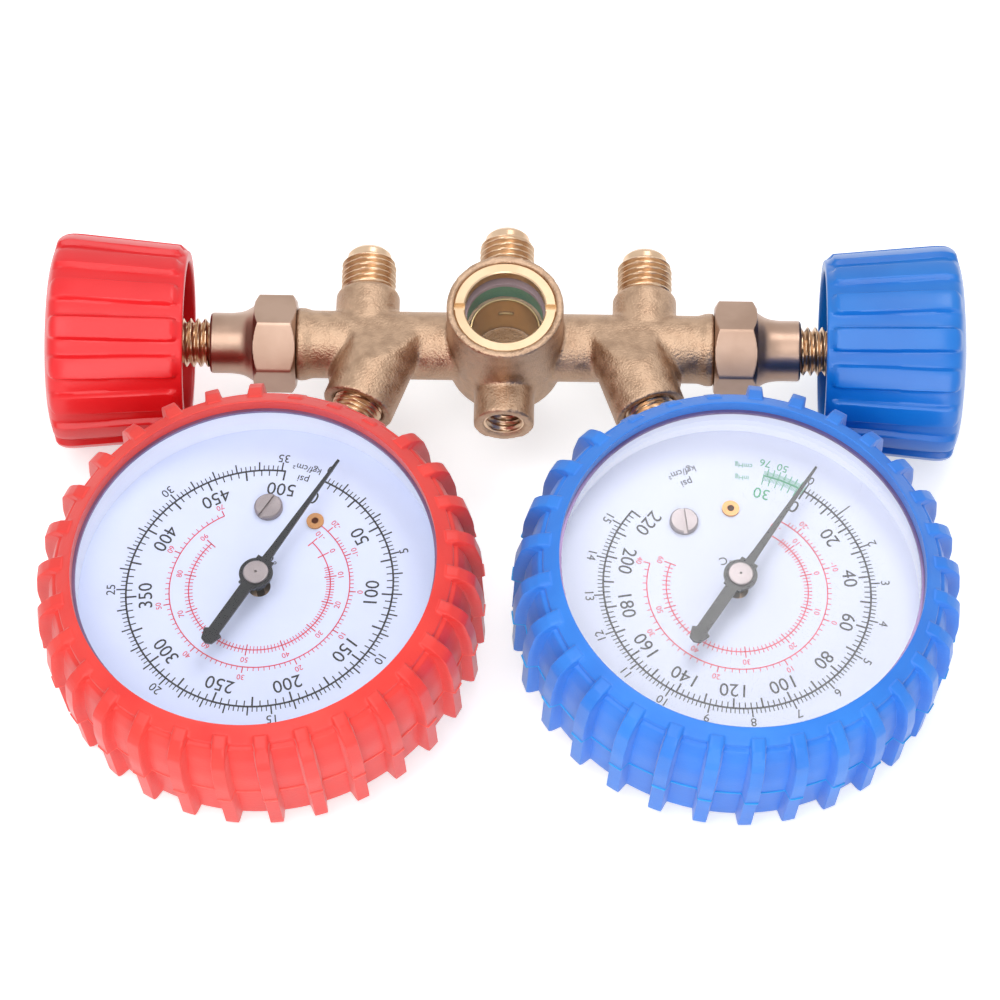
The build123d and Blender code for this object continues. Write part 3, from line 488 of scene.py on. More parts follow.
# %% Give the carried-over CAD nodes their finishes
NODE_FINISHES = {"stem_o_ring": O_RING_RUBBER, "knob_screw": BRIGHT_STEEL, "gauge_case": CASE_STEEL,
                 "bourdon_tube": BRONZE_TUBE, "movement_frame": MACHINED_BRASS,
                 "sector_gear": MACHINED_BRASS, "link": BRIGHT_STEEL, "pinion_arbor": BRIGHT_STEEL,
                 "pointer": POINTER_BLACK, "pointer_cap": DULL_STEEL, "dial_screw": DULL_STEEL,
                 "dial_eyelet": EYELET_BRASS, "gauge_spacer": SPACER_WHITE, "gauge_lens": CLEAR_GLASS,
                 "gauge_bezel": BEZEL_DARK}


def refinish(node, material):
    """Replaces every material on a CAD node."""
    mesh = nodes[node].data
    mesh.materials.clear()
    mesh.materials.append(material)


for side in SIDES:
    for part, material in NODE_FINISHES.items():
        refinish(f"{side}_{part}", material)
    refinish(f"{side}_gauge_dial", DIAL_WHITE[side])
refinish("sight_glass_lens", CLEAR_GLASS)
refinish("sight_glass_gasket", GASKET_GREEN)
refinish("sight_glass_ring", RING_BRASS)
print("CAD nodes refinished:", 2 * len(NODE_FINISHES) + 5)

# %% [markdown]
# ## The cast manifold body
# Bosses on a casting flow into the bar with soft fillets that no single profile gives. The CAD solid
# already has every boss and bore, so a copy of it is remeshed into even small cells and smoothed a little:
# the sharp joins melt into fillets, and the surface is ready for a grainy skin. Before that a prism cuts
# off the crown that each gauge arm leaves across the bar, so that the arm rises out of the bar in a ramp.

# %% Sizes for melting the body, and the cutter of the ramps
CELL = 0.42                 # millimetres
MELT_ROUNDS = 9
MELT_SHARE = 0.5
SWELL_BACK = -0.9           # the share of every other round, which keeps the volume
CROWNS = [(sign * 22.8, -1.0, 7.5) for sign in SIDES.values()]
CROWN_REACH, CROWN_FADE, CROWN_ROUNDS = 8.0, 5.0, 30
CROWN_SPAN = (13.2, 32.5)   # distance from the middle of the bar
BAR_SKIN_R = 6.95
SKIN_FROM, SKIN_TO = 62.0, 90.0         # degrees round the bar where the ramp starts from its skin
RAMP_TOP = (-9.6, 10.7)     # where the ramp along a gauge arm reaches its full height: y and z
CLEAR_Y, CLEAR_Z = 7.0, 14.0            # past everything that the ramp leaves standing


def gathered(items, label, width, kind=float):
    """One value per item of a mesh, as rows of this width."""
    values = np.empty(len(items) * width, kind)
    items.foreach_get(label, values)
    return values.reshape(-1, width)


def neighbour_mean(points, ends, others, degree):
    """Mean of every point's neighbours, summed along the mesh's edges."""
    total = np.stack([np.bincount(ends, points[others, axis], len(points)) for axis in range(3)], -1)
    return total / degree


def crown_cutter(sign):
    """A prism along the bar: its underside follows the bar's circle and then a straight ramp, so an arm
    rises out of the bar instead of lying across it."""
    angles = np.radians(np.linspace(SKIN_FROM, SKIN_TO, 8))
    skin = np.column_stack((np.cos(angles), np.sin(angles))) * BAR_SKIN_R
    section = np.concatenate((skin, [RAMP_TOP, (RAMP_TOP[0], CLEAR_Z), (CLEAR_Y, CLEAR_Z)]))
    count = len(section)
    ends = [np.column_stack((np.full(count, sign * x), section)) for x in CROWN_SPAN]
    middles = [end.mean(axis=0, keepdims=True) for end in ends]
    around = np.arange(count)
    cap = np.column_stack((around, (around + 1) % count, np.full(count, 2 * count)))
    faces = quads_of(2, count, False).tolist() + cap.tolist() + (cap + (count, count, 1)).tolist()
    return np.concatenate(ends + middles), faces, np.zeros(2 * count + 2)


# %% Melt a copy of the CAD body into a casting
def melted(name, node, cell, rounds):
    """Voxel remesh of a merged copy, then Laplacian smoothing: each point moves a share of the way to the
    mean of its neighbours, every other round with a slightly negative share that keeps the volume."""
    thing = in_scene(name, nodes[node].data.copy())
    weld(thing.data, outward=False)
    for sign in SIDES.values():
        cut_away(thing, crown_cutter(sign), BAR)
    modifier = thing.modifiers.new("remesh", "REMESH")
    modifier.mode = "VOXEL"
    modifier.voxel_size = cell * MM
    mesh = thing.data = mesh_as_shown(thing)
    thing.modifiers.clear()
    points = gathered(mesh.vertices, "co", 3)
    edges = gathered(mesh.edges, "vertices", 2, int)
    ends = np.concatenate((edges[:, 0], edges[:, 1]))
    others = np.concatenate((edges[:, 1], edges[:, 0]))
    degree = np.bincount(ends, minlength=len(points))[:, None]
    for k in range(rounds):
        share = MELT_SHARE if k % 2 == 0 else SWELL_BACK * MELT_SHARE
        points += share * (neighbour_mean(points, ends, others, degree) - points)
    # the foot of each ramp blends into the bar: extra rounds, which fade out with distance from it
    for crown in CROWNS:
        away = np.linalg.norm(points - placed(np.array(crown), BAR), axis=1) / MM
        near = np.clip((CROWN_REACH - away) / CROWN_FADE, 0, 1)[:, None]
        for _ in range(CROWN_ROUNDS):
            points += MELT_SHARE * near * (neighbour_mean(points, ends, others, degree) - points)
    mesh.vertices.foreach_set("co", points.ravel())
    mesh.shade_smooth()
    mesh.update()
    return thing


# %% Cut the threaded hole and the valve seats into the casting
def plug(profile):
    """A closed turned form for cutting, from an outline that starts and ends on the axis."""
    return turned(np.array(profile, float), even_turn(64), closed=False)


HOOK = local_frame(BAR[:3, 3], BAR[:3, 2], -BAR[:3, 1])       # z runs out through the hook boss
HOOK_THREAD_R, HOOK_FACE, HOOK_DEPTH, HOOK_MOUTH_R = 4.05, 18.2, 9.0, 4.6
SEAT_R, CHAMBER_R = 2.03, 4.53
body = melted("manifold_casting", "manifold_body", CELL, MELT_ROUNDS)
cut_away(body, plug([(0, HOOK_FACE - HOOK_DEPTH), (HOOK_THREAD_R, HOOK_FACE - HOOK_DEPTH),
                     (HOOK_THREAD_R, HOOK_FACE - 0.55), (HOOK_MOUTH_R, HOOK_FACE + 0.1),
                     (HOOK_MOUTH_R, HOOK_FACE + 1), (0, HOOK_FACE + 1)]), HOOK)
# the melt rounds the valve seats, so both bores are cut again: passage, 45 degree seat and chamber
valve_plug = plug([(0, 12.0), (SEAT_R, 12.0), (SEAT_R, 17.5), (CHAMBER_R, 20.0), (CHAMBER_R, 34.2),
                   (0, 34.2)])
for side in SIDES:
    cut_away(body, valve_plug, VALVES[side])
dress(body, "root", CAST_BRASS, "cast_brass", "manifold_body")

# %% [markdown]
# ## Threads
# A screw thread is one groove that climbs a pitch with each turn. On a grid of heights and angles that is
# a single formula: the groove's depth depends on height / pitch minus angle / full turn. It fades out at
# both ends, as a die leaves it.

# %% The thread formula
THREAD_STEP = 0.12          # longest stretch of a threaded profile between two rows


def groove(z, t, pitch, depth, start, end, fade=0.8):
    """Depth of a right-handed thread's groove: a clipped triangle wave of (z / pitch - t / 2 pi)."""
    phase = (z / pitch - t / (2 * math.pi)) % 1.0
    wave = np.clip(np.abs(2 * phase - 1) * 1.5 - 0.25, 0, 1)
    inside = np.clip((z - start) / fade, 0, 1) * np.clip((end - z) / fade, 0, 1)
    return depth * wave * inside


# %% Line the hook's hole with an M8 thread
HOOK_PITCH, HOOK_GROOVE = 1.25, 0.55
HOOK_SKIN_R, HOOK_CREST_R, HOOK_INNER_R = 3.9, 3.75, 3.4


def hook_thread_form():
    """A thin sleeve whose inner wall is threaded: its radius grows by the groove's depth."""
    low, high = HOOK_FACE - HOOK_DEPTH + 0.05, HOOK_FACE - 0.5
    profile = dense(rounded([(HOOK_THREAD_R, low, 0), (HOOK_THREAD_R, high, 0), (HOOK_CREST_R, high, 0.1),
                             (HOOK_INNER_R, high - 0.3, 0.1), (HOOK_INNER_R, low, 0)]), THREAD_STEP)

    def cut(r, z, t):
        inner = np.clip((HOOK_SKIN_R - r) / 0.3, 0, 1)
        return r + inner * groove(z, t, HOOK_PITCH, HOOK_GROOVE, low - 0.3, high, 0.3)

    return turned(profile, even_turn(64), swell=cut)


hook_thread = new_object("hook_hole_thread", hook_thread_form(), HOOK)
dress(hook_thread, "root", THREAD_BRASS, "machined_brass")

# %% [markdown]
# ## Inside the sight glass
# Behind the window lie a fibre slip ring on top of the green gasket and a turned sleeve with narrow
# slots, through which the refrigerant swirls past the glass.

# %% Turn the slip ring and the slotted sleeve
SIGHT = local_frame(BAR[:3, 3], BAR[:3, 1], BAR[:3, 2])
RING_IN_R, FLANGE_IN_R, FLANGE_R = 7.65, 7.79, 10.1
RING_BOTTOM, FLANGE_BOTTOM, RING_TOP = 10.4, 11.3, 11.56
SLEEVE_IN_R, SLEEVE_R, SLEEVE_BOTTOM, SLEEVE_TOP = 6.6, 6.98, -3.98, 6.9
SLOT_HALF_WIDTH, SLOT_LOW, SLOT_HIGH = 1.5, 1.55, 2.25
slip_ring = new_object("sight_glass_slip_ring", turned(rounded(
    [(RING_IN_R, RING_BOTTOM + 0.1, 0.1), (FLANGE_IN_R, RING_BOTTOM, 0), (FLANGE_IN_R, FLANGE_BOTTOM, 0),
     (FLANGE_R, FLANGE_BOTTOM, 0), (FLANGE_R, RING_TOP, 0), (RING_IN_R, RING_TOP, 0.1)]),
    even_turn(72)), SIGHT)
dress(slip_ring, "root", SLIP_RING, "bright_steel")
sleeve = new_object("sight_glass_sleeve", turned(dense(rounded(
    [(SLEEVE_IN_R, SLEEVE_BOTTOM, 0), (SLEEVE_R, SLEEVE_BOTTOM, 0), (SLEEVE_R, SLEEVE_TOP, 0),
     (SLEEVE_IN_R + 0.15, SLEEVE_TOP, 0.1), (SLEEVE_IN_R, SLEEVE_TOP - 0.3, 0.1)]), 1.0),
    even_turn(96)), SIGHT)
# one slot faces the centre port, and one pair faces along the bar
for low, high in (((-SLOT_HALF_WIDTH, 4, SLOT_LOW), (SLOT_HALF_WIDTH, 9, SLOT_HIGH)),
                  ((-9, -SLOT_HALF_WIDTH, SLOT_LOW), (9, SLOT_HALF_WIDTH, SLOT_HIGH))):
    cut_away(sleeve, block(low, high), SIGHT)
dress(sleeve, "root", SLEEVE_BRASS, "machined_brass")

# %% [markdown]
# ## Flare ports
# Each port is a nipple with a 7/16 in thread, a short plain neck and a 45 degree nose that a hose's flare
# seals against. The three are one profile at two lengths, with the thread cut by the formula above.

# %% Turn the three flare ports
FLARE_R, FLARE_BORE_R, FLARE_NOSE_R, FLARE_TIP_R, SPIGOT_R = 5.555, 2.4, 4.5, 3.5, 4.2
FLARE_NOSE, SPIGOT = 2.6, 3.5
FLARE_PITCH, FLARE_DEPTH = 1.27, 0.78
PORT_ENDS = {"centre": (12.35, 26.4), "high": (12.0, 21.8), "low": (12.0, 21.8)}   # seat and tip


def flare_form(seat, tip):
    """Profile of the nipple, with its thread between the seat and the nose."""
    nose = tip - FLARE_NOSE
    corners = [(FLARE_BORE_R, seat - SPIGOT, 0), (SPIGOT_R, seat - SPIGOT, 0), (SPIGOT_R, seat, 0),
               (FLARE_R - 0.35, seat, 0.1), (FLARE_R, seat + 0.35, 0.2), (FLARE_R, nose - 0.5, 0.3),
               (FLARE_R - 0.55, nose, 0.2), (FLARE_NOSE_R, nose + 0.1, 0.2),
               (FLARE_NOSE_R, tip - FLARE_NOSE_R + FLARE_TIP_R, 0.25), (FLARE_TIP_R, tip, 0.3),
               (FLARE_BORE_R + 0.2, tip, 0.15), (FLARE_BORE_R, tip - 0.3, 0.2)]
    profile = dense(rounded(corners), THREAD_STEP)

    def cut(r, z, t):
        outer = np.clip((r - SPIGOT_R - 0.2) / 0.3, 0, 1)
        return r - outer * groove(z, t, FLARE_PITCH, FLARE_DEPTH, seat + 0.2, nose - 0.1)

    return turned(profile, even_turn(72), swell=cut)


for port, (seat, tip) in PORT_ENDS.items():
    nipple = new_object(f"{port}_flare_nipple", flare_form(seat, tip), PORT_FRAMES[port])
    dress(nipple, "root", THREAD_BRASS, "machined_brass", f"{port}_flare_port")

# %% [markdown]
# ## Bonnets
# A bonnet is turned from hexagon bar: its flats keep the bar's faces, a crown cuts the corners in arcs,
# and the rest is a flared neck. The same grid makes it all, because the radius of the piece is simply the
# smaller of the turned profile and the hexagon.

# %% Turn the two bonnets from hexagon bar
HEX_AF = 17.46
HEX_TURN = {"low": math.radians(-25.0), "high": math.radians(25.0)}
SOFTNESS = 70               # exponent of the soft maximum: higher gives sharper corners


def polygon(t, sides, half_width, turn=0.0):
    """Distance to the nearest flat: half width / soft maximum of cos(t - direction of each flat)."""
    flats = [np.clip(np.cos(t - turn - k * 2 * math.pi / sides), 0, 1) for k in range(sides)]
    return half_width / np.sum(np.power(flats, SOFTNESS), axis=0) ** (1 / SOFTNESS)


def bonnet_form(turn):
    """Tail, crowned hexagon, flared cone and nose round the spindle's bore."""
    corners = [(4.05, 34.3, 0), (5.6, 34.3, 0), (5.6, 42.3, 0), (8.6, 42.3, 0.2), (10.3, 43.4, 0.3),
               (10.3, 49.8, 0.3), (8.6, 50.9, 0.2), (7.75, 50.9, 0.1), (7.55, 51.2, 0.3),
               (6.5, 52.9, 1.0), (6.15, 55.1, 1.0), (6.15, 59.45, 0.25), (5.8, 59.8, 0.2),
               (5.05, 59.8, 0), (5.05, 43.5, 0), (4.05, 43.5, 0)]
    profile = dense(rounded(corners), 0.35)
    return turned(profile, even_turn(216),
                  swell=lambda r, z, t: np.minimum(r, polygon(t, 6, HEX_AF / 2, turn)))


for side in SIDES:
    bonnet = new_object(f"{side}_bonnet_turned", bonnet_form(HEX_TURN[side]), VALVES[side], sharp=28.0)
    dress(bonnet, "root", BONNET_BRASS, "machined_brass", f"{side}_bonnet")

# %% [markdown]
# ## Valve spindles
# The spindle is a long turned pin: a needle that closes the passage, an o-ring groove, an M10 thread that
# runs in the bonnet and a plain shank inside the knob. Only the thread shows, and more of it as the valve
# opens, so the thread runs the whole length that can come out.

# %% Turn the two threaded spindles
SPINDLE_PITCH, SPINDLE_DEPTH = 1.5, 0.9
THREAD_FROM, THREAD_TO = 47.8, 68.6


def spindle_form():
    """Profile from the needle's tip to the shank's end, closed on the axis at both ends."""
    corners = [(0, 19.55, 0), (1.0, 19.55, 0), (2.6, 21.15, 0.2), (2.6, 31.0, 0), (4.0, 32.4, 0),
               (4.0, 38.05, 0), (2.9, 38.05, 0), (2.9, 39.95, 0), (4.0, 39.95, 0), (4.0, 47.5, 0),
               (4.95, 48.5, 0), (4.95, 68.7, 0), (3.55, 68.7, 0), (3.55, 86.0, 0), (0, 86.0, 0)]
    profile = dense(rounded(corners, closed=False), 0.16, closed=False)

    def cut(r, z, t):
        outer = np.clip((r - 4.0) / 0.5, 0, 1)
        return r - outer * groove(z, t, SPINDLE_PITCH, SPINDLE_DEPTH, THREAD_FROM, THREAD_TO)

    return turned(profile, even_turn(60), closed=False, swell=cut)


for side in SIDES:
    spindle = new_object(f"{side}_spindle_threaded", spindle_form(), VALVES[side])
    dress(spindle, f"{side}_valve_stem", THREAD_BRASS, "machined_brass", f"{side}_spindle")

# %% [markdown]
# ## Knobs
# The knob is a moulded drum that is open towards the bonnet. Sixteen raised bars with rounded corners
# give the grip. A bar is a rounded rectangle laid on the drum, so its height is a smooth step of the
# distance to that rectangle's edge, measured round the drum and along it. Columns stand closer together
# on the flanks of the bars. Inside are a hub and four webs.

# %% Mould the two knobs
KNOB_LOBES, LOBE_HEIGHT, LOBE_WIDTH = 16, 1.1, 5.3
LOBE_SPAN = (65.1, 91.3)
LOBE_CORNER, LOBE_FLANK = 1.7, 0.75
GRIP_R = 17.45              # bars stand only on the outer skin, past this radius
WEB = (7.0, 17.4, 0.9, 73.7, 90.0)      # from and to radius, half thickness, from and to height


def lobe_height(r, z, t):
    """Smooth step of the distance inside a rounded rectangle centred on the nearest bar."""
    pitch = 2 * math.pi / KNOB_LOBES
    across = np.abs((t + pitch / 2) % pitch - pitch / 2) * r
    middle, half = sum(LOBE_SPAN) / 2, (LOBE_SPAN[1] - LOBE_SPAN[0]) / 2
    beyond_x = across - (LOBE_WIDTH / 2 - LOBE_CORNER)
    beyond_z = np.abs(z - middle) - (half - LOBE_CORNER)
    outside = np.hypot(np.maximum(beyond_x, 0), np.maximum(beyond_z, 0))
    distance = LOBE_CORNER - outside - np.minimum(np.maximum(beyond_x, beyond_z), 0)
    step = np.clip(distance / LOBE_FLANK, 0, 1)
    return LOBE_HEIGHT * step * step * (3 - 2 * step)


def flank_angles(count, half_width, flank, radius, extra=4):
    """Column angles for evenly spaced bars, crowded where their flanks rise."""
    pitch = 2 * math.pi / count
    rise = np.linspace(half_width - flank, half_width, extra + 1) / radius
    rest = np.array((half_width / 3, half_width * 2 / 3)) / radius
    gap = rise[-1] + (pitch / 2 - rise[-1]) * np.array((0.3, 0.65))
    half = np.sort(np.concatenate((rest, rise, gap)))
    offsets = np.concatenate((-half[::-1], [0.0], half, [pitch / 2]))
    return (np.arange(count)[:, None] * pitch + offsets[None, :]).ravel()


def knob_form():
    """Outer drum with bars, domed end, screw recess, socket, hub and inner wall, as one closed profile."""
    corners = [(18.6, 64.3, 0.5), (20.9, 88.6, 2.4), (20.0, 90.9, 1.3), (17.0, 91.9, 1.6), (9.0, 92.8, 2.0),
               (4.6, 92.9, 0.3), (4.5, 91.4, 0), (2.2, 91.4, 0), (2.2, 86.0, 0), (3.65, 86.0, 0),
               (3.65, 68.7, 0.2), (7.5, 68.7, 0.5), (7.5, 90.3, 0.8), (17.2, 89.6, 1.5), (16.4, 64.3, 0.5)]
    profile = dense(rounded(corners), 0.7)
    angles = flank_angles(KNOB_LOBES, LOBE_WIDTH / 2, LOBE_FLANK, 20.0)
    drum = turned(profile, angles,
                  swell=lambda r, z, t: r + np.clip((r - GRIP_R) / 0.6, 0, 1) * lobe_height(r, z, t))
    start, end, half, low, high = WEB
    webs = []
    for k in range(4):
        points, faces, along = block((start, -half, low), (end, half, high))
        turn = math.radians(45 + 90 * k)
        spun = np.array(((math.cos(turn), math.sin(turn), 0), (-math.sin(turn), math.cos(turn), 0),
                         (0, 0, 1)))
        webs.append((points @ spun, faces, along))
    return together(drum, *webs)


for side in SIDES:
    knob = new_object(f"{side}_knob_moulded", knob_form(), VALVES[side], sharp=40.0)
    dress(knob, f"{side}_valve_stem", KNOB_PLASTIC[side], f"{COLOURS[side]}_knob_plastic", f"{side}_knob")

# %% [markdown]
# ## Rubber boots
# The boot is the hardest surface: a bulging ring with thirty ribs that start as small blocks on the
# front face, run over the edge and down to the back. It is still one grid. Every station of the profile
# has two places, one on the body and one on a rib's crest, and a point lies between them by a smooth step
# of its distance from the rib's middle. Beside the stem three ribs are only pads on the face. Rubber that
# is pulled over a case doesn't sit quite evenly, so the ribs' angles carry a small cosine. The parting
# line of the mould is a small step in body and crest, where a thin fin is left standing; the fin's paler
# colour is a painted highlight, the light line that its edge catches.

# %% Mould the two boots
RIBS = 30
RIB_TURN = {"high": (0.6, 1.8, 25.0), "low": (-3.9, 4.3, 40.0)}     # offset, amplitude, phase in degrees
PAD_REACH, PAD_SHARE = 18.0, 0.1        # degrees from the stem, and how far a pad still stands out
RIB_HALF, RIB_FLANK = 1.8, 0.6
RIB_AT_R = 41.0
# body radius and height, crest radius and height, softening
BOOT_STATIONS = [
    (35.6, 17.5, 35.6, 17.5, 0), (35.6, 20.3, 35.6, 20.3, 0.5), (37.3, 19.04, 37.3, 19.04, 0.2),
    (37.6, 18.82, 37.65, 19.15, 0.15), (38.6, 18.1, 39.9, 18.4, 0.4), (38.7, 17.2, 41.5, 17.0, 0.2),
    (39.5, 16.9, 42.1, 16.3, 0.4), (40.5, 14.4, 42.85, 15.1, 0.9), (41.4, 9.0, 43.7, 9.3, 2.0),
    (41.4, 3.6, 43.6, 3.6, 0.1), (41.05, 3.4, 43.2, 3.4, 0.1),
    (40.6, -7.0, 42.9, -7.6, 0.4), (40.2, -7.6, 42.3, -8.2, 0.3), (38.2, -7.6, 38.3, -8.2, 0.2),
    (37.5, -7.6, 37.5, -7.6, 0), (26.0, -7.6, 26.0, -7.6, 0.4), (26.0, -5.85, 26.0, -5.85, 0.3),
    (35.75, -5.85, 35.75, -5.85, 0), (35.75, 7.75, 35.75, 7.75, 0), (37.25, 7.75, 37.25, 7.75, 0),
    (37.25, 17.5, 37.25, 17.5, 0)]
# the parting fin, which wears the paler painted highlight
FLASH_STATIONS = [(40.8, 3.85, 43.0, 3.85, 0), (41.62, 3.65, 43.85, 3.65, 0), (41.62, 3.4, 43.85, 3.4, 0),
                  (40.7, 3.2, 42.9, 3.2, 0)]
NOTCH = ((-7.0, 32.7, -9.2), (7.0, 50.0, 7.0))


def boot_form(turn, corners):
    """Point = body + w (crest - body), where w rises smoothly over a rib's flank; the angle of a column
    is a + offset + amplitude cos(a - phase) clockwise from the stem."""
    stations = dense(rounded(corners, steps=3), 1.3)
    angles = flank_angles(RIBS, RIB_HALF, RIB_FLANK, RIB_AT_R, extra=5)
    pitch = 2 * math.pi / RIBS
    across = np.abs((angles + pitch / 2) % pitch - pitch / 2) * RIB_AT_R
    step = np.clip((RIB_HALF - across) / RIB_FLANK, 0, 1)
    w = (step * step * (3 - 2 * step))[None, :]
    beside_stem = np.abs((angles + math.pi) % (2 * math.pi) - math.pi) < math.radians(PAD_REACH)
    out = np.where(beside_stem, PAD_SHARE, 1.0)[None, :]
    r = stations[:, 0, None] + w * out * (stations[:, 2] - stations[:, 0])[:, None]
    z = stations[:, 1, None] + w * (stations[:, 3] - stations[:, 1])[:, None]
    offset, amplitude, phase = np.radians(turn)
    t = math.pi / 2 - (angles + offset + amplitude * np.cos(angles - phase))[None, :]
    grid = np.stack((r * np.cos(t), r * np.sin(t), z), -1)
    return grid.reshape(-1, 3), quads_of(len(stations), len(angles), True), np.zeros(grid[..., 0].size)


for side in SIDES:
    for name, corners, rubber, nodes in (
            ("boot_moulded", BOOT_STATIONS, BOOT_RUBBER[side], (f"{side}_gauge_boot",)),
            ("boot_flash", FLASH_STATIONS, FLASH_PAINTED_HIGHLIGHT[side], ())):
        boot = new_object(f"{side}_{name}", boot_form(RIB_TURN[side], corners), GAUGES[side], sharp=50.0)
        cut_away(boot, block(*NOTCH), GAUGES[side])
        boot.data.set_sharp_from_angle(angle=math.radians(50.0))
        dress(boot, "root", rubber, f"{COLOURS[side]}_boot_rubber", *nodes)

# %% [markdown]
# ## Gauge sockets
# A gauge hangs on its socket: a tapered 1/8 in pipe thread, a square shank for the spanner and the block
# that the Bourdon tube is brazed into. The threaded stub shows between the casting and the boot.

# %% Cut the two gauge sockets
STUB_R, STUB_PITCH, STUB_DEPTH = 5.1, 0.94, 0.5
SHANK_HALF, SHANK_FROM, SHANK_TO = 5.5, 34.7, 42.2
STUB_END = {"high": 55.5, "low": 54.2}
SOCKET_BLOCK = ((-5.5, 14.0, -5.0), (5.5, 35.7, 4.6))


def socket_form(end):
    """Square shank and threaded stub round a fine bore, with the solid block behind them."""
    corners = [(1.6, SHANK_FROM, 0), (8.2, SHANK_FROM, 0), (8.2, SHANK_TO - 1.2, 0.2),
               (6.2, SHANK_TO, 0.2), (STUB_R, SHANK_TO, 0), (STUB_R, end - 0.8, 0.2),
               (STUB_R - 0.8, end, 0.2), (1.6, end, 0)]
    profile = dense(rounded(corners), THREAD_STEP)

    def cut(r, z, t):
        limited = np.minimum(r, polygon(t, 4, SHANK_HALF))
        outer = np.clip((r - 3.5) / 0.5, 0, 1) * (z > SHANK_TO)
        return limited - outer * groove(z, t, STUB_PITCH, STUB_DEPTH, SHANK_TO + 0.2, end + 0.4)

    points, faces, along = turned(profile, even_turn(72), swell=cut)
    # the profile runs along z, and a gauge's stem along y
    return together((points[:, [1, 2, 0]], faces, along), block(*SOCKET_BLOCK))


for side in SIDES:
    socket = new_object(f"{side}_socket_threaded", socket_form(STUB_END[side]), GAUGES[side])
    dress(socket, "root", THREAD_BRASS, "machined_brass", f"{side}_gauge_socket")

# %% [markdown]
# ## Printed dials
# Everything on a dial is a mark at a radius and an angle clockwise from the stem. A scale is a straight
# line from value to angle, so all its ticks come from one array. Each mark is a thin raised film of ink.
# Numerals stand upright when the stem points down: their tops face out on the far half of the dial and
# in on the half near the stem.

# %% Ink: ticks and arcs
DIAL_Z, INK = 9.0, 0.05     # the dial's face, and how thick the film of ink is
SCALE_R = 26.2


def ticks(angles, inner, outer, width):
    """A thin box for every angle, from the inner to the outer radius: N x 8 corners at once."""
    a = np.radians(np.asarray(angles, float))[:, None]
    side = np.array((-1, -1, -1, -1, 1, 1, 1, 1)) * width / 2
    radius = np.array((inner, inner, outer, outer) * 2)
    height = np.array((0, 1) * 4) * INK + DIAL_Z
    x = radius * np.sin(a) + side * np.cos(a)
    y = radius * np.cos(a) - side * np.sin(a)
    points = np.stack((x, y, height + 0 * x), -1)
    every = (BOX_FACES[None] + 8 * np.arange(len(a))[:, None, None]).reshape(-1, 4)
    return points.reshape(-1, 3), every, np.zeros(len(a) * 8)


def arc(radius, start, end, width):
    """A ring sector of ink: four corners of a section carried from the start to the end angle."""
    a = np.radians(np.linspace(start, end, max(8, int(abs(end - start) / 1.5))))[:, None]
    r = radius + np.array((-1, 1, 1, -1)) * width / 2
    z = DIAL_Z + np.array((0, 0, 1, 1)) * INK
    points = np.stack((r * np.sin(a), r * np.cos(a), z + 0 * a), -1)
    count = len(points) * 4
    caps = np.array([(0, 1, 2, 3), (count - 1, count - 2, count - 3, count - 4)])
    return points.reshape(-1, 3), np.concatenate((quads_of(len(points), 4, False), caps)), np.zeros(count)


# %% Words
def word_mesh(text, size):
    """Points and faces of a word in the built-in typeface, centred, in millimetres."""
    curve = bpy.data.curves.new("word", "FONT")
    curve.body = text
    curve.size = size
    curve.extrude = INK / 2
    curve.align_x = "CENTER"
    curve.align_y = "CENTER"
    curve.resolution_u = 3
    thing = in_scene("word", curve)
    mesh = mesh_as_shown(thing)
    points = gathered(mesh.vertices, "co", 3)
    faces = [tuple(face.vertices) for face in mesh.polygons]
    bpy.data.objects.remove(thing)
    bpy.data.meshes.remove(mesh)
    return points, faces


def words(labels, radius, size):
    """Every (angle, text) of a ring of labels: each word turned so that it reads with the stem down."""
    forms = []
    for angle, text in labels:
        points, faces = word_mesh(text, size)
        outward = np.array((math.sin(math.radians(angle)), math.cos(math.radians(angle))))
        up = -outward if outward[1] > 0 else outward
        right = np.array((up[1], -up[0]))
        flat = radius * outward + points[:, 0, None] * right + points[:, 1, None] * up
        raised = np.column_stack((flat, points[:, 2] + DIAL_Z + INK / 2))
        forms.append((raised, faces, np.zeros(len(points))))
    return forms


def printed(name, marks, side, ink, slot):
    """All marks of one colour on a dial as one flat-shaded piece."""
    dress(new_object(name, together(*marks), GAUGES[side], sharp=None), "root", ink, slot)


# %% [markdown]
# The high side reads 0 to 500 psi inside the ring and 0 to 35 kgf/cm2 outside it. The low side starts
# with a green vacuum zone and runs to 220 psi and 15 kgf/cm2. Two red arcs on each dial carry saturation
# temperatures; their degrees crowd together where the pressure is low, so their ticks follow a power.

# %% The four scales
PSI_PER_KGF = 14.2233
FINEST = 2.1                # degrees; closer ticks than this aren't printed
DEGREE_POWER = 1.25
# angles are in degrees clockwise from the stem, and an arc is its radius, two angles and two temperatures
DIALS = {
    "high": {"zero": 6.55, "per_psi": 342.2 / 500, "psi": 500, "psi_minor": 5, "psi_major": 25,
             "psi_label": 50, "kgf": 35, "kgf_minor": 0.2, "kgf_label": 5, "gap": 357.5,
             "arcs": ((17.7, 21.4, 314.5, -24, 70), (13.9, 26.0, 294.7, -10, 90))},
    "low": {"zero": 50.7, "per_psi": 277.3 / 220, "psi": 220, "psi_minor": 2, "psi_major": 10,
            "psi_label": 20, "kgf": 15, "kgf_minor": 0.1, "kgf_label": 1, "gap": 357.0,
            "arcs": ((17.7, 49.4, 305.1, -26, 40), (13.9, 48.4, 310.2, -20, 60))}}


def temperature_angles(start, end, low, high, step):
    """Angles of whole degrees: start + (end - start) ((T - low) / (high - low)) ^ power."""
    degrees = np.arange(math.ceil(low / step) * step, high + 0.1, step)
    share = (degrees - low) / (high - low)
    return degrees, start + (end - start) * share ** DEGREE_POWER


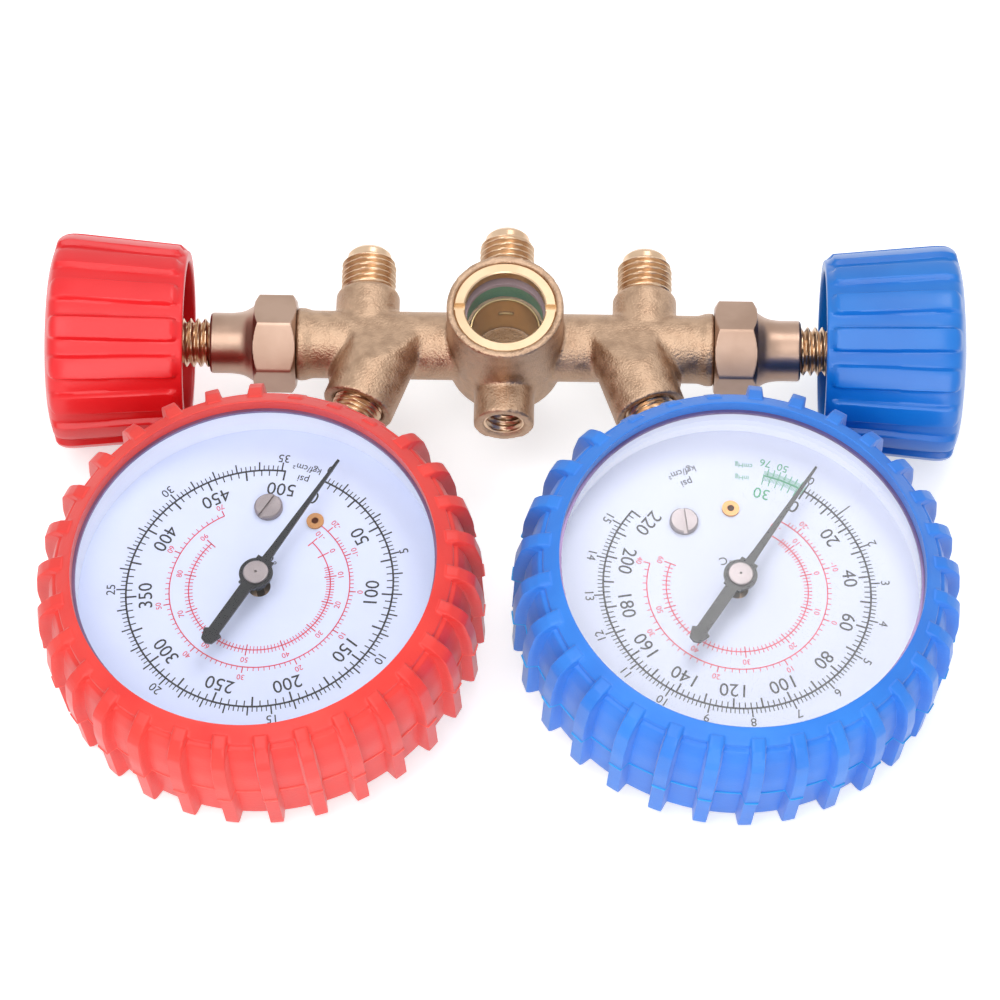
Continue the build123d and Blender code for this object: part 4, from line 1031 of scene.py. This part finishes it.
# %% Print both dials
# radius and size of each kind of label
NUMERALS, SMALL, DEGREE_SIGN = (22.2, 3.9), (29.1, 2.5), (6.6, 2.4)
PSI_WORD, KGF_WORD, DEGREES_OUT, DEGREES_SIZE = (25.2, 2.2), (27.7, 2.0), 2.2, 1.6
# length and width of each kind of tick
PSI_LONG, PSI_SHORT, KGF_LONG, KGF_SHORT = (-2.1, 0.34), (-1.25, 0.22), (1.9, 0.28), (1.1, 0.19)
INCH_LONG, INCH_SHORT, CM_LONG, CM_SHORT = (-2.1, 0.2), (-1.1, 0.1), (1.8, 0.2), (1.1, 0.1)
RING_OVER, RING_WIDTH = 0.3, 0.36       # how far the ring runs past its scale, and its width


def scale_ticks(angles, length, width):
    """Ticks on the scale's ring: a positive length stands out of it, and a negative one into it."""
    return ticks(angles, SCALE_R + min(length, 0), SCALE_R + max(length, 0), width)


def black_marks(side):
    """The ring, ticks of psi inside it and of kgf/cm2 outside it, their numerals and the units' names."""
    dial = DIALS[side]
    zero, per_psi = dial["zero"], dial["per_psi"]
    per_kgf = per_psi * PSI_PER_KGF
    psi = np.arange(0, dial["psi"] + 0.1, dial["psi_minor"])
    major = psi % dial["psi_major"] == 0
    kgf = np.arange(0, dial["kgf"] + 0.01, dial["kgf_minor"])
    long = np.abs(kgf - np.round(kgf)) < 0.01
    numerals = [(zero + value * per_psi, str(value))
                for value in range(0, dial["psi"] + 1, dial["psi_label"])]
    small = [(zero + value * per_kgf, str(value)) for value in range(0, dial["kgf"] + 1, dial["kgf_label"])]
    return [arc(SCALE_R, zero - RING_OVER, zero + dial["psi"] * per_psi + RING_OVER, RING_WIDTH),
            scale_ticks(zero + psi[major] * per_psi, *PSI_LONG),
            scale_ticks(zero + psi[~major] * per_psi, *PSI_SHORT),
            scale_ticks(zero + kgf[long] * per_kgf, *KGF_LONG),
            scale_ticks(zero + kgf[~long] * per_kgf, *KGF_SHORT),
            *words(numerals, *NUMERALS), *words(small, *SMALL), *words([(0.0, "°C")], *DEGREE_SIGN),
            *words([(dial["gap"], "psi")], *PSI_WORD), *words([(dial["gap"], "kgf/cm²")], *KGF_WORD)]


def red_marks(side):
    """Two arcs of degrees: the outer one has its ticks outside, the inner one on both sides."""
    marks, labels = [], []
    for k, (radius, first, last, low, high) in enumerate(DIALS[side]["arcs"]):
        fine = temperature_angles(first, last, low, high, 1)[1]
        fine = fine[np.gradient(fine) > FINEST]
        tens, at = temperature_angles(first, last, low, high, 10)
        both = 0.8 if k else 0.0
        marks += [arc(radius, first, last, 0.22), ticks(fine, radius - both, radius + 0.8, 0.15),
                  ticks(at, radius - 1.4 * both, radius + 1.3, 0.22)]
        labels += words([(angle, str(int(value))) for value, angle in zip(tens, at)],
                        radius + DEGREES_OUT, DEGREES_SIZE)
    return marks + labels


for side in SIDES:
    printed(f"{side}_dial_black_print", black_marks(side), side, BLACK_INK, "pointer_black")
    printed(f"{side}_dial_red_print", red_marks(side), side, RED_INK, "red_knob_plastic")

# %% The green vacuum zone of the low side
VACUUM_START, VACUUM_END, IN_HG, CM_HG = DIALS["low"]["zero"], 31.9, 30, 76
inches = VACUUM_START + (VACUUM_END - VACUUM_START) * np.arange(0, IN_HG + 1) / IN_HG
centimetres = VACUUM_START + (VACUUM_END - VACUUM_START) * np.arange(0, CM_HG + 1, 2) / CM_HG
green = [arc(SCALE_R, VACUUM_END - 0.2, VACUUM_START - 0.7, 0.3),
         scale_ticks(inches[::5][1:], *INCH_LONG), scale_ticks(inches[1:], *INCH_SHORT),
         scale_ticks(centimetres[5::5], *CM_LONG), scale_ticks(centimetres[1:], *CM_SHORT)]
for angle, text, radius, size in ((VACUUM_END + 1.0, str(IN_HG), 22.2, 3.4),
                                  (VACUUM_END - 0.5, str(CM_HG), 29.1, 2.3), (38.4, "50", 29.1, 2.3),
                                  (22.5, "inHg", 25.0, 1.5), (23.0, "cmHg", 27.8, 1.5)):
    green += words([(angle, text)], radius, size)
printed("low_dial_green_print", green, "low", GREEN_INK, "green_gasket")

# %% [markdown]
# ## Floor, world and lamps
# The set is a white sweep: a plain pale floor that keeps a soft shadow, a white world, a large soft lamp
# over the part, another in front of it and a small panel. The panel stands where the low gauge's window
# mirrors it towards the camera, which gives that window its milky veil.

# %% Sizes of the set, and which rays look at it
FLOOR_HALF, FLOOR_WHITE, FLOOR_GLOW = 3.0, 0.86, 0.58
WORLD_LIGHT = 0.52
KEY_AT, KEY_SIZE, KEY_POWER = (-0.25, -0.35, 0.85), 0.7, 3.4
FILL_AT, FILL_SIZE, FILL_POWER = (0.1, -0.9, 0.3), 0.6, 3.0
PANEL_DISTANCE, PANEL_SIZE, PANEL_POWER = 0.62, 0.24, 0.65
WINDOW_Z = 16.8             # the window's face above a gauge's origin


def seen_rays(tree):
    """1 for rays from the camera, a mirror or glass, and 0 for rays that only carry light: those left a
    diffuse surface before, even where they pass a window on their way."""
    rays = tree.nodes.new("ShaderNodeLightPath").outputs
    looked_at = wired(tree, "ShaderNodeMath", "Value", {0: rays["Is Camera Ray"], 1: rays["Is Glossy Ray"]},
                      operation="MAXIMUM")
    looked_at = wired(tree, "ShaderNodeMath", "Value", {0: looked_at, 1: rays["Is Transmission Ray"]},
                      operation="MAXIMUM")
    first = wired(tree, "ShaderNodeMath", "Value", {0: rays["Diffuse Depth"], 1: 0.5}, operation="LESS_THAN")
    return wired(tree, "ShaderNodeMath", "Value", {0: looked_at, 1: first}, operation="MULTIPLY")


# %% Floor and world
def floor_material():
    """White diffuse that keeps shadows, plus a little glow for rays that look at it."""
    material, tree, shader = new_material("white_floor")
    shader.inputs["Base Color"].default_value = (*[FLOOR_WHITE] * 3, 1)
    shader.inputs["Roughness"].default_value = 1.0
    shader.inputs["Emission Color"].default_value = (1, 1, 1, 1)
    glow = wired(tree, "ShaderNodeMath", "Value", {0: seen_rays(tree), 1: FLOOR_GLOW}, operation="MULTIPLY")
    tree.links.new(glow, shader.inputs["Emission Strength"])
    return material


def white_world():
    """Soft light for the object, and plain white wherever it is looked at."""
    world = bpy.data.worlds.new("white_world")
    world.use_nodes = True
    tree = world.node_tree
    background = tree.nodes["Background"]
    background.inputs["Color"].default_value = (1, 1, 1, 1)
    strength = wired(tree, "ShaderNodeMapRange", "Result",
                     {"Value": seen_rays(tree), "To Min": WORLD_LIGHT, "To Max": 1.0})
    tree.links.new(strength, background.inputs["Strength"])
    return world


floor_form = (np.array([(-1, -1, 0), (1, -1, 0), (1, 1, 0), (-1, 1, 0)]) * FLOOR_HALF / MM,
              np.array([(0, 1, 2, 3)]), np.zeros(4))
floor = new_object("floor", floor_form, np.eye(4))
floor.data.materials.append(floor_material())
bpy.context.scene.world = white_world()
print("floor", 2 * FLOOR_HALF, "m wide")

# %% Lamps
def area_lamp(name, where, towards, size, power):
    """A square lamp that faces a point."""
    lamp = bpy.data.lights.new(name, "AREA")
    lamp.size = size
    lamp.energy = power
    thing = in_scene(name, lamp)
    back = unit(np.array(where) - np.array(towards))
    side = unit(np.cross((0.0, 1.0, 0.02), back))
    thing.matrix_world = Matrix(local_frame(where, np.cross(back, side), back).tolist())
    return thing


for lamp in (area_lamp("key_lamp", KEY_AT, (0, 0, 0), KEY_SIZE, KEY_POWER),
             area_lamp("fill_lamp", FILL_AT, (0, 0, 0), FILL_SIZE, FILL_POWER)):
    # their light already passes the windows as shadow rays, so refracted rays don't bring it twice
    lamp.visible_transmission = False
window = placed(np.array((0.0, 0.0, WINDOW_Z)), GAUGES["low"])
sight = unit(window - np.array(camera.matrix_world.translation))
normal = GAUGES["low"][:3, 2]
mirrored = sight - 2 * (sight @ normal) * normal
area_lamp("window_panel", window + mirrored * PANEL_DISTANCE, window, PANEL_SIZE, PANEL_POWER)
bpy.context.scene.view_settings.view_transform = "Standard"
print("panel at", np.round(window + mirrored * PANEL_DISTANCE, 3))
